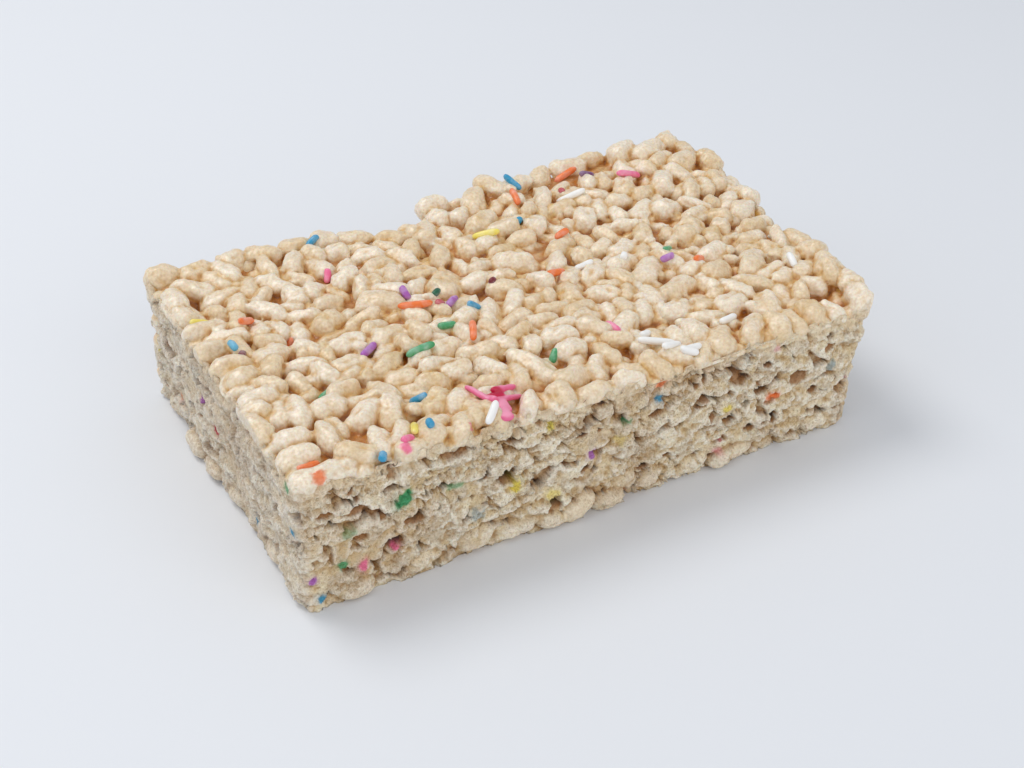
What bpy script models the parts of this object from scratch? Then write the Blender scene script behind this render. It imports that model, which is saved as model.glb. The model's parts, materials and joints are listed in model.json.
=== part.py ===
# Crispy rice treat: a bar of puffed rice set in marshmallow, with coloured sprinkles in and on it.
# Its front and sides are knife cuts, and its back is the edge that lay against the pan.

import math

import bmesh
import bpy
import numpy as np
from mathutils import Matrix, Vector, geometry, noise

# Driving dimensions, in millimetres
MM = 0.001
HEIGHT = 25.3
DEPTH = 70.0
FRONT_LENGTH = 107.0
BACK_LENGTH = 118.5
CORNER_RADII = {"front_left": 1.5, "front_right": 4.0, "back_right": 6.0, "back_left": 3.0}
BACK_NOTCHES = ({"x": -11.0, "half_width": 7.0, "depth": 5.2}, {"x": 16.5, "half_width": 3.2, "depth": 3.0})
BACK_SWELL = {"from_x": -9.0, "to_x": 62.0, "depth": 2.6}
KNOLLS = (
    {"x": 46.0, "y": 31.0, "reach": 12.0, "rise": 1.8}, {"x": 11.0, "y": 34.0, "reach": 7.0, "rise": 1.2},
    {"x": 29.0, "y": 33.0, "reach": 7.0, "rise": 0.9},
)
WAVE_RISE = 0.6

# A grain of puffed rice
GRAIN_HALF_LENGTH = (3.5, 4.7)
GRAIN_RADIUS = (1.65, 2.15)
GRAIN_TILT = math.radians(7.0)
GRAIN_LIFT = (-0.85, 0.3)
TOP_GRAINS = 285
FUSED_TOP_GRAINS = 134
FUSED_SPREAD = 0.95
BACK_COLUMNS = 13
PACKING = 0.9
SETTLE_STEPS = 90
CUT_REACH = 3.0
WHOLE_RIM_FROM = 6.0

# The set marshmallow body that carries the grains
BODY_POINTS = 104
BODY_BELOW_SKIN = 2.0
BODY_LEVELS = ((0.0, 0.2), (1.4, 0.0), (5.5, -0.1), (10.0, -0.1), (14.5, -0.1), (19.0, 0.0))
SHOULDER = {"cut_inset": 0.2, "cut_below": 0.8, "whole_inset": 0.5, "whole_below": 0.7}
BACK_INSET = 0.6
CRAG_RISE = 0.4
RIM_SCALLOP = 0.5
TOP_GRID_STEP = 8.0

# A sprinkle is a short sugar strand
SPRINKLE_RADIUS = 0.72

LEFT_X = -58.8
RIGHT_FRONT_X = LEFT_X + FRONT_LENGTH
RIGHT_BACK_X = LEFT_X + BACK_LENGTH
FRONT_Y = -36.0
BACK_Y = FRONT_Y + DEPTH

# Sprinkles on the top: x, y, heading in degrees and length
TOP_SPRINKLES = (
    (-55.0, 14.5, -10, 3.6), (-48.5, 10.0, 28, 3.6), (-53.3, 3.4, 90, 3.2), (-44.6, -14.5, 23, 3.6),
    (-33.8, -7.0, 37, 4.7), (-29.7, 19.2, 60, 2.8), (-27.5, 31.0, 20, 3.2), (-21.0, 5.6, 100, 2.8),
    (-21.8, 0.0, -23, 6.0), (-15.0, -0.5, 42, 4.2), (-13.0, -4.6, 0, 2.8), (-19.4, -7.0, -22, 3.2),
    (-17.2, -12.2, 64, 4.6), (-27.6, -13.6, 0, 5.2), (-32.9, -23.5, -42, 3.2), (-27.0, -34.4, 50, 3.4),
    (-37.0, -30.3, 66, 6.0), (-39.7, -33.4, 30, 3.0), (-54.6, -30.7, 10, 4.0), (1.2, 17.0, -33, 5.3),
    (15.0, 31.5, -58, 4.4), (12.5, 26.0, 80, 4.6), (13.9, 11.0, 8, 3.2), (5.2, -1.3, 13, 4.5),
    (12.0, 0.0, 0, 4.0), (27.8, 32.6, 2, 5.3), (30.5, 29.0, 10, 4.0), (22.9, 22.5, -25, 6.2),
    (37.4, 24.4, 2, 6.0), (27.7, -3.4, 30, 2.8), (25.2, -7.0, -40, 2.8), (30.2, -9.8, 20, 2.8),
    (5.0, -20.6, -80, 3.6), (8.8, -28.0, -27, 6.6), (12.5, -33.0, 10, 4.0), (-8.2, -23.3, 40, 2.8),
    (23.7, -27.6, 10, 4.0), (44.0, -18.8, 75, 3.6),
)

# Pink strands that melted together near the front rim: x, y, heading in degrees and length
MELTED_STRANDS = (
    (-23.6, -26.0, 80, 6.0), (-20.2, -28.2, 12, 6.4), (-20.0, -29.6, 22, 6.0), (-23.4, -32.0, 66, 6.4),
)

# Sprinkles cut through by the knife, on the front as x and z, and on the left side as y and z
FRONT_CUT_SPRINKLES = (
    (-57.4, 6.2), (-55.8, 2.4), (-52.3, 7.2), (-51.2, 12.9), (-48.9, 5.4), (-41.7, 15.6), (-32.5, 14.5),
    (-29.2, 8.0), (-22.6, 11.5), (-16.1, 20.7), (-15.3, 6.6), (-7.9, 12.0), (-1.6, 16.2), (-2.3, 12.9),
    (4.9, 21.5), (4.8, 18.4), (18.5, 12.5), (28.4, 11.5), (40.7, 14.0), (18.0, 5.2),
)
LEFT_CUT_SPRINKLES = ((-32.5, 21.5), (-33.8, 14.8), (5.0, 14.7), (0.0, 11.8), (-16.3, 4.5))

# Pores that the knife opened: place along the side, height, width and tallness
FRONT_PORES = (
    (-54.6, 17.6, 3.0, 1.6), (-49.5, 16.4, 4.2, 1.8), (-49.0, 11.2, 2.6, 1.8), (-43.0, 22.4, 3.2, 2.4),
    (-43.6, 7.6, 3.4, 2.6), (-40.0, 10.8, 3.6, 1.6), (-33.0, 21.2, 4.6, 2.0), (-23.9, 13.4, 3.8, 3.0),
    (-22.4, 19.4, 4.6, 1.4), (-15.2, 4.4, 3.0, 1.6), (-9.3, 22.0, 2.2, 2.0), (-8.9, 9.0, 2.2, 2.0),
    (2.4, 5.5, 2.2, 1.6), (7.0, 6.6, 2.0, 1.6), (4.6, 15.6, 3.4, 1.4), (14.2, 21.6, 4.4, 2.6),
    (20.7, 17.4, 3.2, 3.4), (19.3, 9.6, 2.8, 1.8), (24.4, 6.0, 3.0, 1.6), (26.0, 13.6, 3.4, 2.2),
    (29.4, 6.8, 1.6, 2.8), (37.2, 9.8, 2.2, 1.4),
)
LEFT_PORES = ((-9.0, 10.4, 1.6, 2.2), (-17.8, 11.4, 1.8, 2.6), (12.0, 8.0, 1.8, 2.4), (24.0, 15.0, 2.0, 1.6))
RIGHT_PORES = (
    (-22.0, 7.0, 2.6, 1.8), (-14.0, 13.5, 3.2, 1.8), (-4.0, 6.0, 2.2, 2.0), (5.0, 15.0, 3.0, 1.6),
    (12.0, 9.0, 2.4, 2.2), (21.0, 13.0, 2.8, 1.6),
)
PORE_DEPTH = 1.3

# Facets that turn less than this from their neighbours merge
NEARLY_FLAT = math.radians(6.0)

COLOUR = (0.76, 0.63, 0.45, 1.0)
ROUGHNESS = 0.5


def smooth_step(value):
    value = min(max(value, 0.0), 1.0)
    return value * value * (3.0 - 2.0 * value)


def right_line(y):
    return RIGHT_FRONT_X + (RIGHT_BACK_X - RIGHT_FRONT_X) * (y - FRONT_Y) / DEPTH


def back_line(x):
    notch = sum(one["depth"] * math.exp(-((x - one["x"]) / one["half_width"]) ** 2) for one in BACK_NOTCHES)
    rise = smooth_step((x - BACK_SWELL["from_x"]) / 8.0) * smooth_step((BACK_SWELL["to_x"] - x) / 8.0)
    return BACK_Y - notch + BACK_SWELL["depth"] * rise


def front_limit(x):
    # Grains run on through the cut at the left, and end whole at the rim further right
    whole = smooth_step((x - WHOLE_RIM_FROM) / 5.0)
    return FRONT_Y - 0.3 - CUT_REACH * (1.0 - whole)


def top_level(x, y):
    wave = noise.noise(Vector((x * 0.045, y * 0.045, 3.7))) * WAVE_RISE * 2.0
    rise = 0.0
    for knoll in KNOLLS:
        away = math.hypot(x - knoll["x"], y - knoll["y"]) / knoll["reach"]
        rise += knoll["rise"] * math.exp(-away * away)
    return HEIGHT + wave + rise


def corner_arc(before, corner, after, radius, steps=5):
    towards_before = (before - corner).normalized()
    towards_after = (after - corner).normalized()
    half_angle = towards_before.angle(towards_after) / 2
    reach = radius / math.tan(half_angle)
    centre = corner + (towards_before + towards_after).normalized() * radius / math.sin(half_angle)
    start = (corner + towards_before * reach - centre).normalized()
    end = (corner + towards_after * reach - centre).normalized()
    return [centre + start.slerp(end, step / steps) * radius for step in range(steps + 1)]


def plan_outline(count):
    # Even points round the plan, anticlockwise from the front left corner
    front_left = Vector((LEFT_X, FRONT_Y))
    front_right = Vector((RIGHT_FRONT_X, FRONT_Y))
    back_right = Vector((RIGHT_BACK_X, BACK_Y))
    back_left = Vector((LEFT_X, BACK_Y))
    path = corner_arc(back_left, front_left, front_right, CORNER_RADII["front_left"])
    path += corner_arc(front_left, front_right, back_right, CORNER_RADII["front_right"])
    right_arc = corner_arc(front_right, back_right, back_left, CORNER_RADII["back_right"])
    left_arc = corner_arc(back_right, back_left, front_left, CORNER_RADII["back_left"])
    between = np.linspace(right_arc[-1].x, left_arc[0].x, 60)[1:-1]
    path += right_arc + [Vector((x, back_line(x))) for x in between] + left_arc
    path.append(path[0])
    steps = [0.0] + [(b - a).length for a, b in zip(path, path[1:])]
    walked = np.cumsum(steps)
    wanted = np.linspace(0.0, walked[-1], count, endpoint=False)
    across = np.interp(wanted, walked, [point.x for point in path])
    deep = np.interp(wanted, walked, [point.y for point in path])
    return [Vector((x, y)) for x, y in zip(across, deep)]


def outward_normals(ring):
    normals = []
    for index in range(len(ring)):
        along = ring[(index + 1) % len(ring)] - ring[index - 1]
        normals.append(Vector((along.y, -along.x)).normalized())
    return normals


def side_relief(point, normal, z):
    # Crags of the side, the sunk body behind the back grains and the scalloped lower rim
    place = Vector((point.x, point.y, z))
    crag = noise.noise(place * 0.21) * CRAG_RISE + noise.noise(place * 0.55 + Vector((9, 4, 2))) * CRAG_RISE
    back = BACK_INSET * smooth_step((normal.y - 0.3) / 0.5)
    scallop = 0.0
    if z < 1.0:
        scallop = RIM_SCALLOP * abs(noise.noise(Vector((point.x, point.y, 0.0)) * 0.19)) * 2.0
    return crag - back - scallop


def body_mesh(scene_collection):
    ring = plan_outline(BODY_POINTS)
    normals = outward_normals(ring)
    shape = bmesh.new()
    rings = []
    for z, inset in BODY_LEVELS:
        level = []
        for point, normal in zip(ring, normals):
            moved = point + normal * (side_relief(point, normal, z) - inset)
            level.append(shape.verts.new((moved.x, moved.y, z)))
        rings.append(level)
    shoulder = []
    for point, normal in zip(ring, normals):
        cut_side = normal.y < -0.7 or normal.x < -0.7
        inset = SHOULDER["cut_inset" if cut_side else "whole_inset"]
        moved = point + normal * (side_relief(point, normal, HEIGHT) - inset)
        z = top_level(point.x, point.y) - SHOULDER["cut_below" if cut_side else "whole_below"]
        shoulder.append(shape.verts.new((moved.x, moved.y, z)))
    rings.append(shoulder)
    for lower, upper in zip(rings, rings[1:]):
        for index in range(len(lower)):
            after = (index + 1) % len(lower)
            shape.faces.new((lower[index], lower[after], upper[after], upper[index]))
    shape.faces.new(list(reversed(rings[0])))
    cover_top(shape, shoulder)
    bmesh.ops.triangulate(shape, faces=shape.faces[:])
    bmesh.ops.recalc_face_normals(shape, faces=shape.faces[:])
    return new_object("treat", shape, scene_collection)


def cover_top(shape, rim):
    # The body's upper face follows the top a little way below the grains
    outline = [Vector((vert.co.x, vert.co.y)) for vert in rim]
    inner = []
    for x in np.arange(LEFT_X + 5.0, RIGHT_BACK_X - 3.0, TOP_GRID_STEP):
        for y in np.arange(FRONT_Y + 5.0, BACK_Y - 2.0, TOP_GRID_STEP):
            if x < right_line(y) - 5.0 and y < back_line(x) - 5.0:
                inner.append(Vector((x, y)))
    edges = [(index, (index + 1) % len(outline)) for index in range(len(outline))]
    laid = geometry.delaunay_2d_cdt(outline + inner, edges, [], 1, 0.001)
    verts = []
    for place, sources in zip(laid[0], laid[3]):
        if sources and sources[0] < len(outline):
            verts.append(rim[sources[0]])
        else:
            z = top_level(place.x, place.y) - BODY_BELOW_SKIN
            verts.append(shape.verts.new((place.x, place.y, z)))
    for corners in laid[2]:
        shape.faces.new([verts[corner] for corner in corners])


def settle_grains(rng, count):
    # Each grain lies as three discs in a row, and the discs push apart until they fit side by side
    half = rng.uniform(*GRAIN_HALF_LENGTH, count)
    radius = rng.uniform(*GRAIN_RADIUS, count)
    heading = rng.uniform(0.0, math.pi, count)
    columns = math.ceil(math.sqrt(count * (BACK_LENGTH + CUT_REACH) / (DEPTH + CUT_REACH)))
    rows = math.ceil(count / columns)
    slot = np.arange(count)
    along = (slot % columns + 0.5 + rng.uniform(-0.3, 0.3, count)) / columns
    deep = (slot // columns + 0.5 + rng.uniform(-0.3, 0.3, count)) / rows
    y = FRONT_Y - CUT_REACH + deep * (DEPTH + CUT_REACH)
    left = LEFT_X - CUT_REACH
    place = np.column_stack([left + along * (right_line(y) - left), y])
    reach = (half - radius)[:, None] * np.array([-1.0, 0.0, 1.0])
    disc_radius = (radius[:, None] * np.array([0.86, 1.0, 0.86])).ravel()
    owner = np.repeat(slot, 3)
    wanted = PACKING * (disc_radius[:, None] + disc_radius[None, :])
    wanted[owner[:, None] == owner[None, :]] = 0.0
    for _ in range(SETTLE_STEPS):
        along = np.column_stack([np.cos(heading), np.sin(heading)])
        discs = (place[:, None, :] + reach[:, :, None] * along[:, None, :]).reshape(-1, 2)
        apart = discs[:, None, :] - discs[None, :, :]
        distance = np.sqrt((apart ** 2).sum(axis=2)) + 1e-6
        overlap = np.maximum(wanted - distance, 0.0)
        push = (apart * (overlap / distance)[:, :, None]).sum(axis=1) * 0.5
        push += wall_push(discs, disc_radius)
        push = push.reshape(-1, 3, 2)
        place += push.mean(axis=1) * 0.7
        turn = (reach * (along[:, None, 0] * push[:, :, 1] - along[:, None, 1] * push[:, :, 0])).sum(axis=1)
        heading += np.clip(0.25 * turn / (half - radius) ** 2, -0.3, 0.3)
    return [
        {"x": place[i, 0], "y": place[i, 1], "heading": heading[i], "half": half[i], "radius": radius[i]}
        for i in slot
    ]


def wall_push(discs, disc_radius):
    push = np.zeros_like(discs)
    front = np.array([front_limit(x) for x in discs[:, 0]])
    back = np.array([back_line(x) for x in discs[:, 0]])
    push[:, 1] += np.maximum(front + disc_radius - discs[:, 1], 0.0)
    push[:, 1] -= np.maximum(discs[:, 1] + disc_radius - back, 0.0)
    push[:, 0] += np.maximum(LEFT_X - CUT_REACH + disc_radius - discs[:, 0], 0.0)
    push[:, 0] -= np.maximum(discs[:, 0] + disc_radius - right_line(discs[:, 1]), 0.0)
    return push


def place_top_grains(rng):
    grains = settle_grains(rng, TOP_GRAINS)
    for grain in grains:
        lift = rng.uniform(*GRAIN_LIFT)
        grain["z"] = top_level(grain["x"], grain["y"]) - grain["radius"] + lift
        grain["tilt"] = rng.normal(0.0, GRAIN_TILT)
        grain["side"] = "top"
    return grains


def place_back_grains(rng):
    grains = []
    for column in range(BACK_COLUMNS):
        for row, z in enumerate((5.0, 11.5, 18.0)):
            share = (column + 0.5 + 0.5 * (row % 2) - 0.25 + rng.uniform(-0.2, 0.2)) / BACK_COLUMNS
            x = LEFT_X + 3.0 + share * (BACK_LENGTH - 9.0)
            radius = rng.uniform(*GRAIN_RADIUS)
            grains.append({
                "x": x, "y": back_line(x) - radius - rng.uniform(0.0, 0.6), "z": z + rng.uniform(-1.2, 1.2),
                "heading": rng.uniform(-0.5, 0.5), "tilt": rng.uniform(-0.7, 0.7),
                "half": rng.uniform(*GRAIN_HALF_LENGTH), "radius": radius, "side": "back",
            })
    return grains


def grain_discs(grain):
    direction = Vector((math.cos(grain["heading"]), math.sin(grain["heading"])))
    reach = direction * float(grain["half"] - grain["radius"])
    middle = Vector((grain["x"], grain["y"]))
    tip_radius = grain["radius"] * 0.86
    return [(middle - reach, tip_radius), (middle, grain["radius"]), (middle + reach, tip_radius)]


def spread_largest(grains):
    # The largest grains that lie clear of each other come first, then the largest of the rest
    chosen = []
    crowding = []
    filled = []
    for grain in sorted(grains, key=lambda grain: -grain["half"] * grain["radius"] ** 2):
        discs = grain_discs(grain)
        crowded = any(
            (place - other).length < FUSED_SPREAD * (radius + other_radius)
            for place, radius in discs for other, other_radius in filled
        )
        if crowded:
            crowding.append(grain)
        else:
            filled += discs
            chosen.append(grain)
    return (chosen + crowding)[:FUSED_TOP_GRAINS]


def grain_matrix(grain):
    turn = Matrix.Rotation(grain["heading"], 4, "Z") @ Matrix.Rotation(grain["tilt"], 4, "Y")
    return Matrix.Translation((grain["x"], grain["y"], grain["z"])) @ turn


def grain_mesh(grain, number):
    # A blunt spindle with six sides and slightly uneven rings
    shape = bmesh.new()
    bmesh.ops.create_uvsphere(shape, u_segments=6, v_segments=4, radius=1.0)
    long_way = Matrix.Rotation(math.pi / 2, 4, "Y")
    bmesh.ops.transform(shape, matrix=long_way, verts=shape.verts[:])
    for vert in shape.verts:
        uneven = 1.0 + 0.12 * noise.noise(vert.co * 1.3 + Vector((number * 1.7, 0.0, 0.0)))
        blunt = 1.12 if abs(vert.co.x) > 0.3 else 1.0
        vert.co.x *= grain["half"]
        vert.co.y *= grain["radius"] * uneven * blunt
        vert.co.z *= grain["radius"] * uneven * blunt
    bmesh.ops.transform(shape, matrix=grain_matrix(grain), verts=shape.verts[:])
    return shape


def cut_grain(shape, point, direction):
    # The knife's plane closes the grain with a flat face
    cut = bmesh.ops.bisect_plane(
        shape, geom=shape.verts[:] + shape.edges[:] + shape.faces[:], dist=1e-4,
        plane_co=point, plane_no=direction, clear_outer=True,
    )
    edges = [part for part in cut["geom_cut"] if isinstance(part, bmesh.types.BMEdge)]
    if edges:
        bmesh.ops.edgeloop_fill(shape, edges=edges)


def trimmed_grain(grain, number, rng):
    shape = grain_mesh(grain, number)
    proud = rng.uniform(-0.15, 0.3)
    if grain["side"] == "top":
        cut_grain(shape, (0.0, FRONT_Y - proud, 0.0), (0.0, -1.0, 0.0))
        cut_grain(shape, (LEFT_X - proud, 0.0, 0.0), (-1.0, 0.0, 0.0))
    return shape


def skin_height(x, y, grains):
    # The top of the highest grain over a point, or of the body between grains
    best = top_level(x, y) - BODY_BELOW_SKIN
    for grain in grains:
        across = x - grain["x"]
        deep = y - grain["y"]
        if abs(across) > grain["half"] or abs(deep) > grain["half"]:
            continue
        along = across * math.cos(grain["heading"]) + deep * math.sin(grain["heading"])
        aside = deep * math.cos(grain["heading"]) - across * math.sin(grain["heading"])
        inside = 1.0 - (along / grain["half"]) ** 2 - (aside / grain["radius"]) ** 2
        if inside > 0.0:
            z = grain["z"] - along * math.sin(grain["tilt"]) + grain["radius"] * math.sqrt(inside)
            best = max(best, z)
    return best


def strand_mesh(length, radius, matrix):
    # A sugar strand: a five-sided rod with rounded ends
    shape = bmesh.new()
    bmesh.ops.create_uvsphere(shape, u_segments=5, v_segments=3, radius=1.0)
    bmesh.ops.transform(shape, matrix=Matrix.Rotation(math.pi / 2, 4, "Y"), verts=shape.verts[:])
    for vert in shape.verts:
        at_tip = abs(vert.co.x) > 0.9
        vert.co.x = math.copysign(length / 2 - (0.0 if at_tip else radius * 0.5), vert.co.x)
        vert.co.y *= radius * 1.15
        vert.co.z *= radius * 1.15
    bmesh.ops.transform(shape, matrix=matrix, verts=shape.verts[:])
    return shape


def laid_strand(x, y, heading, length, grains):
    # The strand lies on the grains under its two ends and its middle
    turn = math.radians(heading)
    step = Vector((math.cos(turn), math.sin(turn))) * length * 0.35
    near = skin_height(x - step.x, y - step.y, grains)
    far = skin_height(x + step.x, y + step.y, grains)
    middle = skin_height(x, y, grains)
    pitch = math.atan2(near - far, length * 0.7)
    z = max((near + far) / 2, middle) + SPRINKLE_RADIUS * 0.25
    matrix = Matrix.Translation((x, y, z)) @ Matrix.Rotation(turn, 4, "Z") @ Matrix.Rotation(pitch, 4, "Y")
    return strand_mesh(length, SPRINKLE_RADIUS, matrix)


def cut_strand(place, facing):
    # The end of a strand that the knife cut through, a little proud of the side
    shape = bmesh.new()
    bmesh.ops.create_cone(
        shape, segments=5, cap_ends=True, radius1=SPRINKLE_RADIUS, radius2=SPRINKLE_RADIUS, depth=2.4,
    )
    turn = Vector((0.0, 0.0, 1.0)).rotation_difference(facing).to_matrix().to_4x4()
    bmesh.ops.transform(shape, matrix=Matrix.Translation(place - facing * 0.75) @ turn, verts=shape.verts[:])
    return shape


def pore_mesh(place, facing, width, tall):
    shape = bmesh.new()
    bmesh.ops.create_icosphere(shape, subdivisions=1, radius=1.0)
    turn = Vector((0.0, -1.0, 0.0)).rotation_difference(facing).to_matrix().to_4x4()
    size = Matrix.Diagonal((width / 2, PORE_DEPTH, tall / 2, 1.0))
    bmesh.ops.transform(shape, matrix=Matrix.Translation(place) @ turn @ size, verts=shape.verts[:])
    return shape


def new_object(name, shape, collection):
    mesh = bpy.data.meshes.new(name)
    shape.to_mesh(mesh)
    shape.free()
    piece = bpy.data.objects.new(name, mesh)
    collection.objects.link(piece)
    return piece


def new_collection(name):
    collection = bpy.data.collections.new(name)
    bpy.context.scene.collection.children.link(collection)
    return collection


def remove_pieces(collection):
    for piece in list(collection.objects):
        bpy.data.objects.remove(piece)
    bpy.data.collections.remove(collection)


def apply_boolean(piece, collection, operation, solver):
    join = piece.modifiers.new(operation.lower(), "BOOLEAN")
    join.operation = operation
    join.operand_type = "COLLECTION"
    join.collection = collection
    join.solver = solver
    evaluated = piece.evaluated_get(bpy.context.evaluated_depsgraph_get())
    mesh = bpy.data.meshes.new_from_object(evaluated)
    piece.modifiers.clear()
    piece.data = mesh
    remove_pieces(collection)


def open_pores(body):
    cutters = new_collection("pore cutters")
    right = Vector((DEPTH, -(BACK_LENGTH - FRONT_LENGTH), 0.0)).normalized()
    for x, z, width, tall in FRONT_PORES:
        new_object("front pore", pore_mesh(Vector((x, FRONT_Y, z)), Vector((0, -1, 0)), width, tall), cutters)
    for y, z, width, tall in LEFT_PORES:
        new_object("left pore", pore_mesh(Vector((LEFT_X, y, z)), Vector((-1, 0, 0)), width, tall), cutters)
    for y, z, width, tall in RIGHT_PORES:
        new_object("right pore", pore_mesh(Vector((right_line(y), y, z)), right, width, tall), cutters)
    for cutter in cutters.objects:
        cutter.hide_render = True
        cutter.display_type = "WIRE"
    apply_boolean(body, cutters, "DIFFERENCE", "EXACT")


def fuse_grains(body, rng):
    fused = new_collection("grains and sprinkles")
    top = place_top_grains(rng)
    shown = [grain for grain in top if grain["x"] > LEFT_X - 1.0 and grain["y"] > FRONT_Y - 1.0]
    shown = spread_largest(shown)
    for number, grain in enumerate(shown + place_back_grains(rng)):
        new_object("grain", trimmed_grain(grain, number, rng), fused)
    for x, y, heading, length in TOP_SPRINKLES + MELTED_STRANDS:
        new_object("sprinkle", laid_strand(x, y, heading, length, shown), fused)
    for x, z in FRONT_CUT_SPRINKLES:
        new_object("sprinkle", cut_strand(Vector((x, FRONT_Y, z)), Vector((0, -1, 0))), fused)
    for y, z in LEFT_CUT_SPRINKLES:
        new_object("sprinkle", cut_strand(Vector((LEFT_X, y, z)), Vector((-1, 0, 0))), fused)
    apply_boolean(body, fused, "UNION", "MANIFOLD")


def shells_of(shape):
    waiting = set(shape.verts)
    shells = []
    while waiting:
        shell = {waiting.pop()}
        front = list(shell)
        while front:
            vert = front.pop()
            for edge in vert.link_edges:
                other = edge.other_vert(vert)
                if other not in shell:
                    shell.add(other)
                    front.append(other)
        waiting -= shell
        shells.append(shell)
    return shells


def keep_outer_shell(body):
    # Hollows that the fusing sealed are filled, and the base's middle stands at the origin
    shape = bmesh.new()
    shape.from_mesh(body.data)
    bmesh.ops.remove_doubles(shape, verts=shape.verts[:], dist=1e-4)
    bmesh.ops.dissolve_degenerate(shape, edges=shape.edges[:], dist=1e-4)
    shells = sorted(shells_of(shape), key=len)
    bmesh.ops.delete(shape, geom=[vert for shell in shells[:-1] for vert in shell], context="VERTS")
    bmesh.ops.dissolve_limit(
        shape, angle_limit=NEARLY_FLAT, verts=shape.verts[:], edges=shape.edges[:],
    )
    bmesh.ops.triangulate(shape, faces=shape.faces[:])
    corners = [vert.co for vert in shape.verts]
    middle_x = (min(co.x for co in corners) + max(co.x for co in corners)) / 2
    middle_y = (min(co.y for co in corners) + max(co.y for co in corners)) / 2
    bmesh.ops.translate(shape, vec=(-middle_x, -middle_y, 0.0), verts=shape.verts[:])
    bmesh.ops.scale(shape, vec=(MM, MM, MM), verts=shape.verts[:])
    shape.to_mesh(body.data)
    shape.free()


def rice_material():
    material = bpy.data.materials.new("marshmallow rice")
    material.use_nodes = True
    shader = material.node_tree.nodes["Principled BSDF"]
    shader.inputs["Base Color"].default_value = COLOUR
    shader.inputs["Roughness"].default_value = ROUGHNESS
    shader.inputs["Metallic"].default_value = 0.0
    return material


def build_treat():
    for old in list(bpy.data.objects):
        bpy.data.objects.remove(old)
    treat_collection = new_collection("crispy rice treat")
    body = body_mesh(treat_collection)
    open_pores(body)
    fuse_grains(body, np.random.default_rng(41))
    keep_outer_shell(body)
    body.data.materials.clear()
    body.data.materials.append(rice_material())
    print("treat triangles", len(body.data.polygons))


build_treat()
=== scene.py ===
import json
import math
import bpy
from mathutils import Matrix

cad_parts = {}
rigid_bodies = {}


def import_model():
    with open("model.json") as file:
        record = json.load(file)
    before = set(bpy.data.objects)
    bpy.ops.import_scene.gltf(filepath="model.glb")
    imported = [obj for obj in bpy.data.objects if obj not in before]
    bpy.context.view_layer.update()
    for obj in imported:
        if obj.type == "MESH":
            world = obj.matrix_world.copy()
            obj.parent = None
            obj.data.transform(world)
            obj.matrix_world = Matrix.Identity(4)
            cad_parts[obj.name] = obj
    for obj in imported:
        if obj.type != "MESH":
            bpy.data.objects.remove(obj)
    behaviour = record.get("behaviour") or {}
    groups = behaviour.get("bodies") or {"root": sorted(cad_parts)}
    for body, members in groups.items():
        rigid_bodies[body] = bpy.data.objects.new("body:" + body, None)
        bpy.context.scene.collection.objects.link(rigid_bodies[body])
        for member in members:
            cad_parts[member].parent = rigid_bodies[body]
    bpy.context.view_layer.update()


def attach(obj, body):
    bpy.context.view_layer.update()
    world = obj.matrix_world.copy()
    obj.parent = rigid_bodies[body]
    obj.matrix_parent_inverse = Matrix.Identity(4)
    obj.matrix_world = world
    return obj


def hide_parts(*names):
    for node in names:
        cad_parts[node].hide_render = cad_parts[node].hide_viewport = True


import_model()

from types import SimpleNamespace

import bmesh
import bpy
import numpy as np
from mathutils import Matrix, Vector, noise
from mathutils.bvhtree import BVHTree

# The bar's plan in millimetres, from the layout's own origin
bar = {
    "height": 25.3, "depth": 70.0, "frontLength": 107.0, "backLength": 118.5, "leftX": -58.8, "frontY": -36.0,
    "frontLeftRadius": 1.5, "frontRightRadius": 4.0, "backRightRadius": 6.0, "backLeftRadius": 3.0,
    "notches": ((-11.0, 7.0, 5.2), (16.5, 3.2, 2.0)),     # gaps in the back edge: x, half width, depth
    "swellFrom": -9.0, "swellTo": 62.0, "swellEase": 8.0, "swellDepth": 2.6,
    # Where the top rises: x, y, reach, rise
    "knolls": ((46.0, 31.0, 12.0, 1.8), (11.0, 34.0, 7.0, 1.2), (29.0, 33.0, 7.0, 0.9)),
    "waveScale": 0.045, "waveRise": 1.2, "rimOut": 1.0, "cutOut": 0.15,
    "middleX": -0.324, "middleY": 0.268,     # the plan's middle, which stands over the frame's origin
}
bar["rightFrontX"] = bar["leftX"] + bar["frontLength"]
bar["rightBackX"] = bar["leftX"] + bar["backLength"]
bar["backY"] = bar["frontY"] + bar["depth"]

# The camera, fitted to the outline of the bar
view = {
    "width": 1024, "focalPixels": 1496.4, "sensor": 36.0,
    "pitch": 34.08, "yaw": 29.86, "roll": 0.674, "place": (-0.11569, -0.19776, 0.15690),
}


def placeCamera():
    data = bpy.data.cameras.new("photoView")
    data.sensor_width = view["sensor"]
    data.lens = view["sensor"] * view["focalPixels"] / view["width"]
    data.clip_start = 0.01
    camera = bpy.data.objects.new("photoView", data)
    bpy.context.scene.collection.objects.link(camera)
    pitch, yaw, roll = (math.radians(view[name]) for name in ("pitch", "yaw", "roll"))
    ahead = Vector((math.sin(yaw) * math.cos(pitch), math.cos(yaw) * math.cos(pitch), -math.sin(pitch)))
    level = Vector((math.cos(yaw), -math.sin(yaw), 0.0))
    raised = level.cross(ahead)
    right = level * math.cos(roll) + raised * math.sin(roll)
    above = raised * math.cos(roll) - level * math.sin(roll)
    turn = Matrix((right, above, -ahead)).transposed().to_4x4()
    camera.matrix_world = Matrix.Translation(view["place"]) @ turn
    bpy.context.scene.camera = camera


placeCamera()


def smoothStep(value, low=0.0, high=1.0):
    value = np.clip((value - low) / (high - low), 0.0, 1.0)
    return value * value * (3.0 - 2.0 * value)


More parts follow.
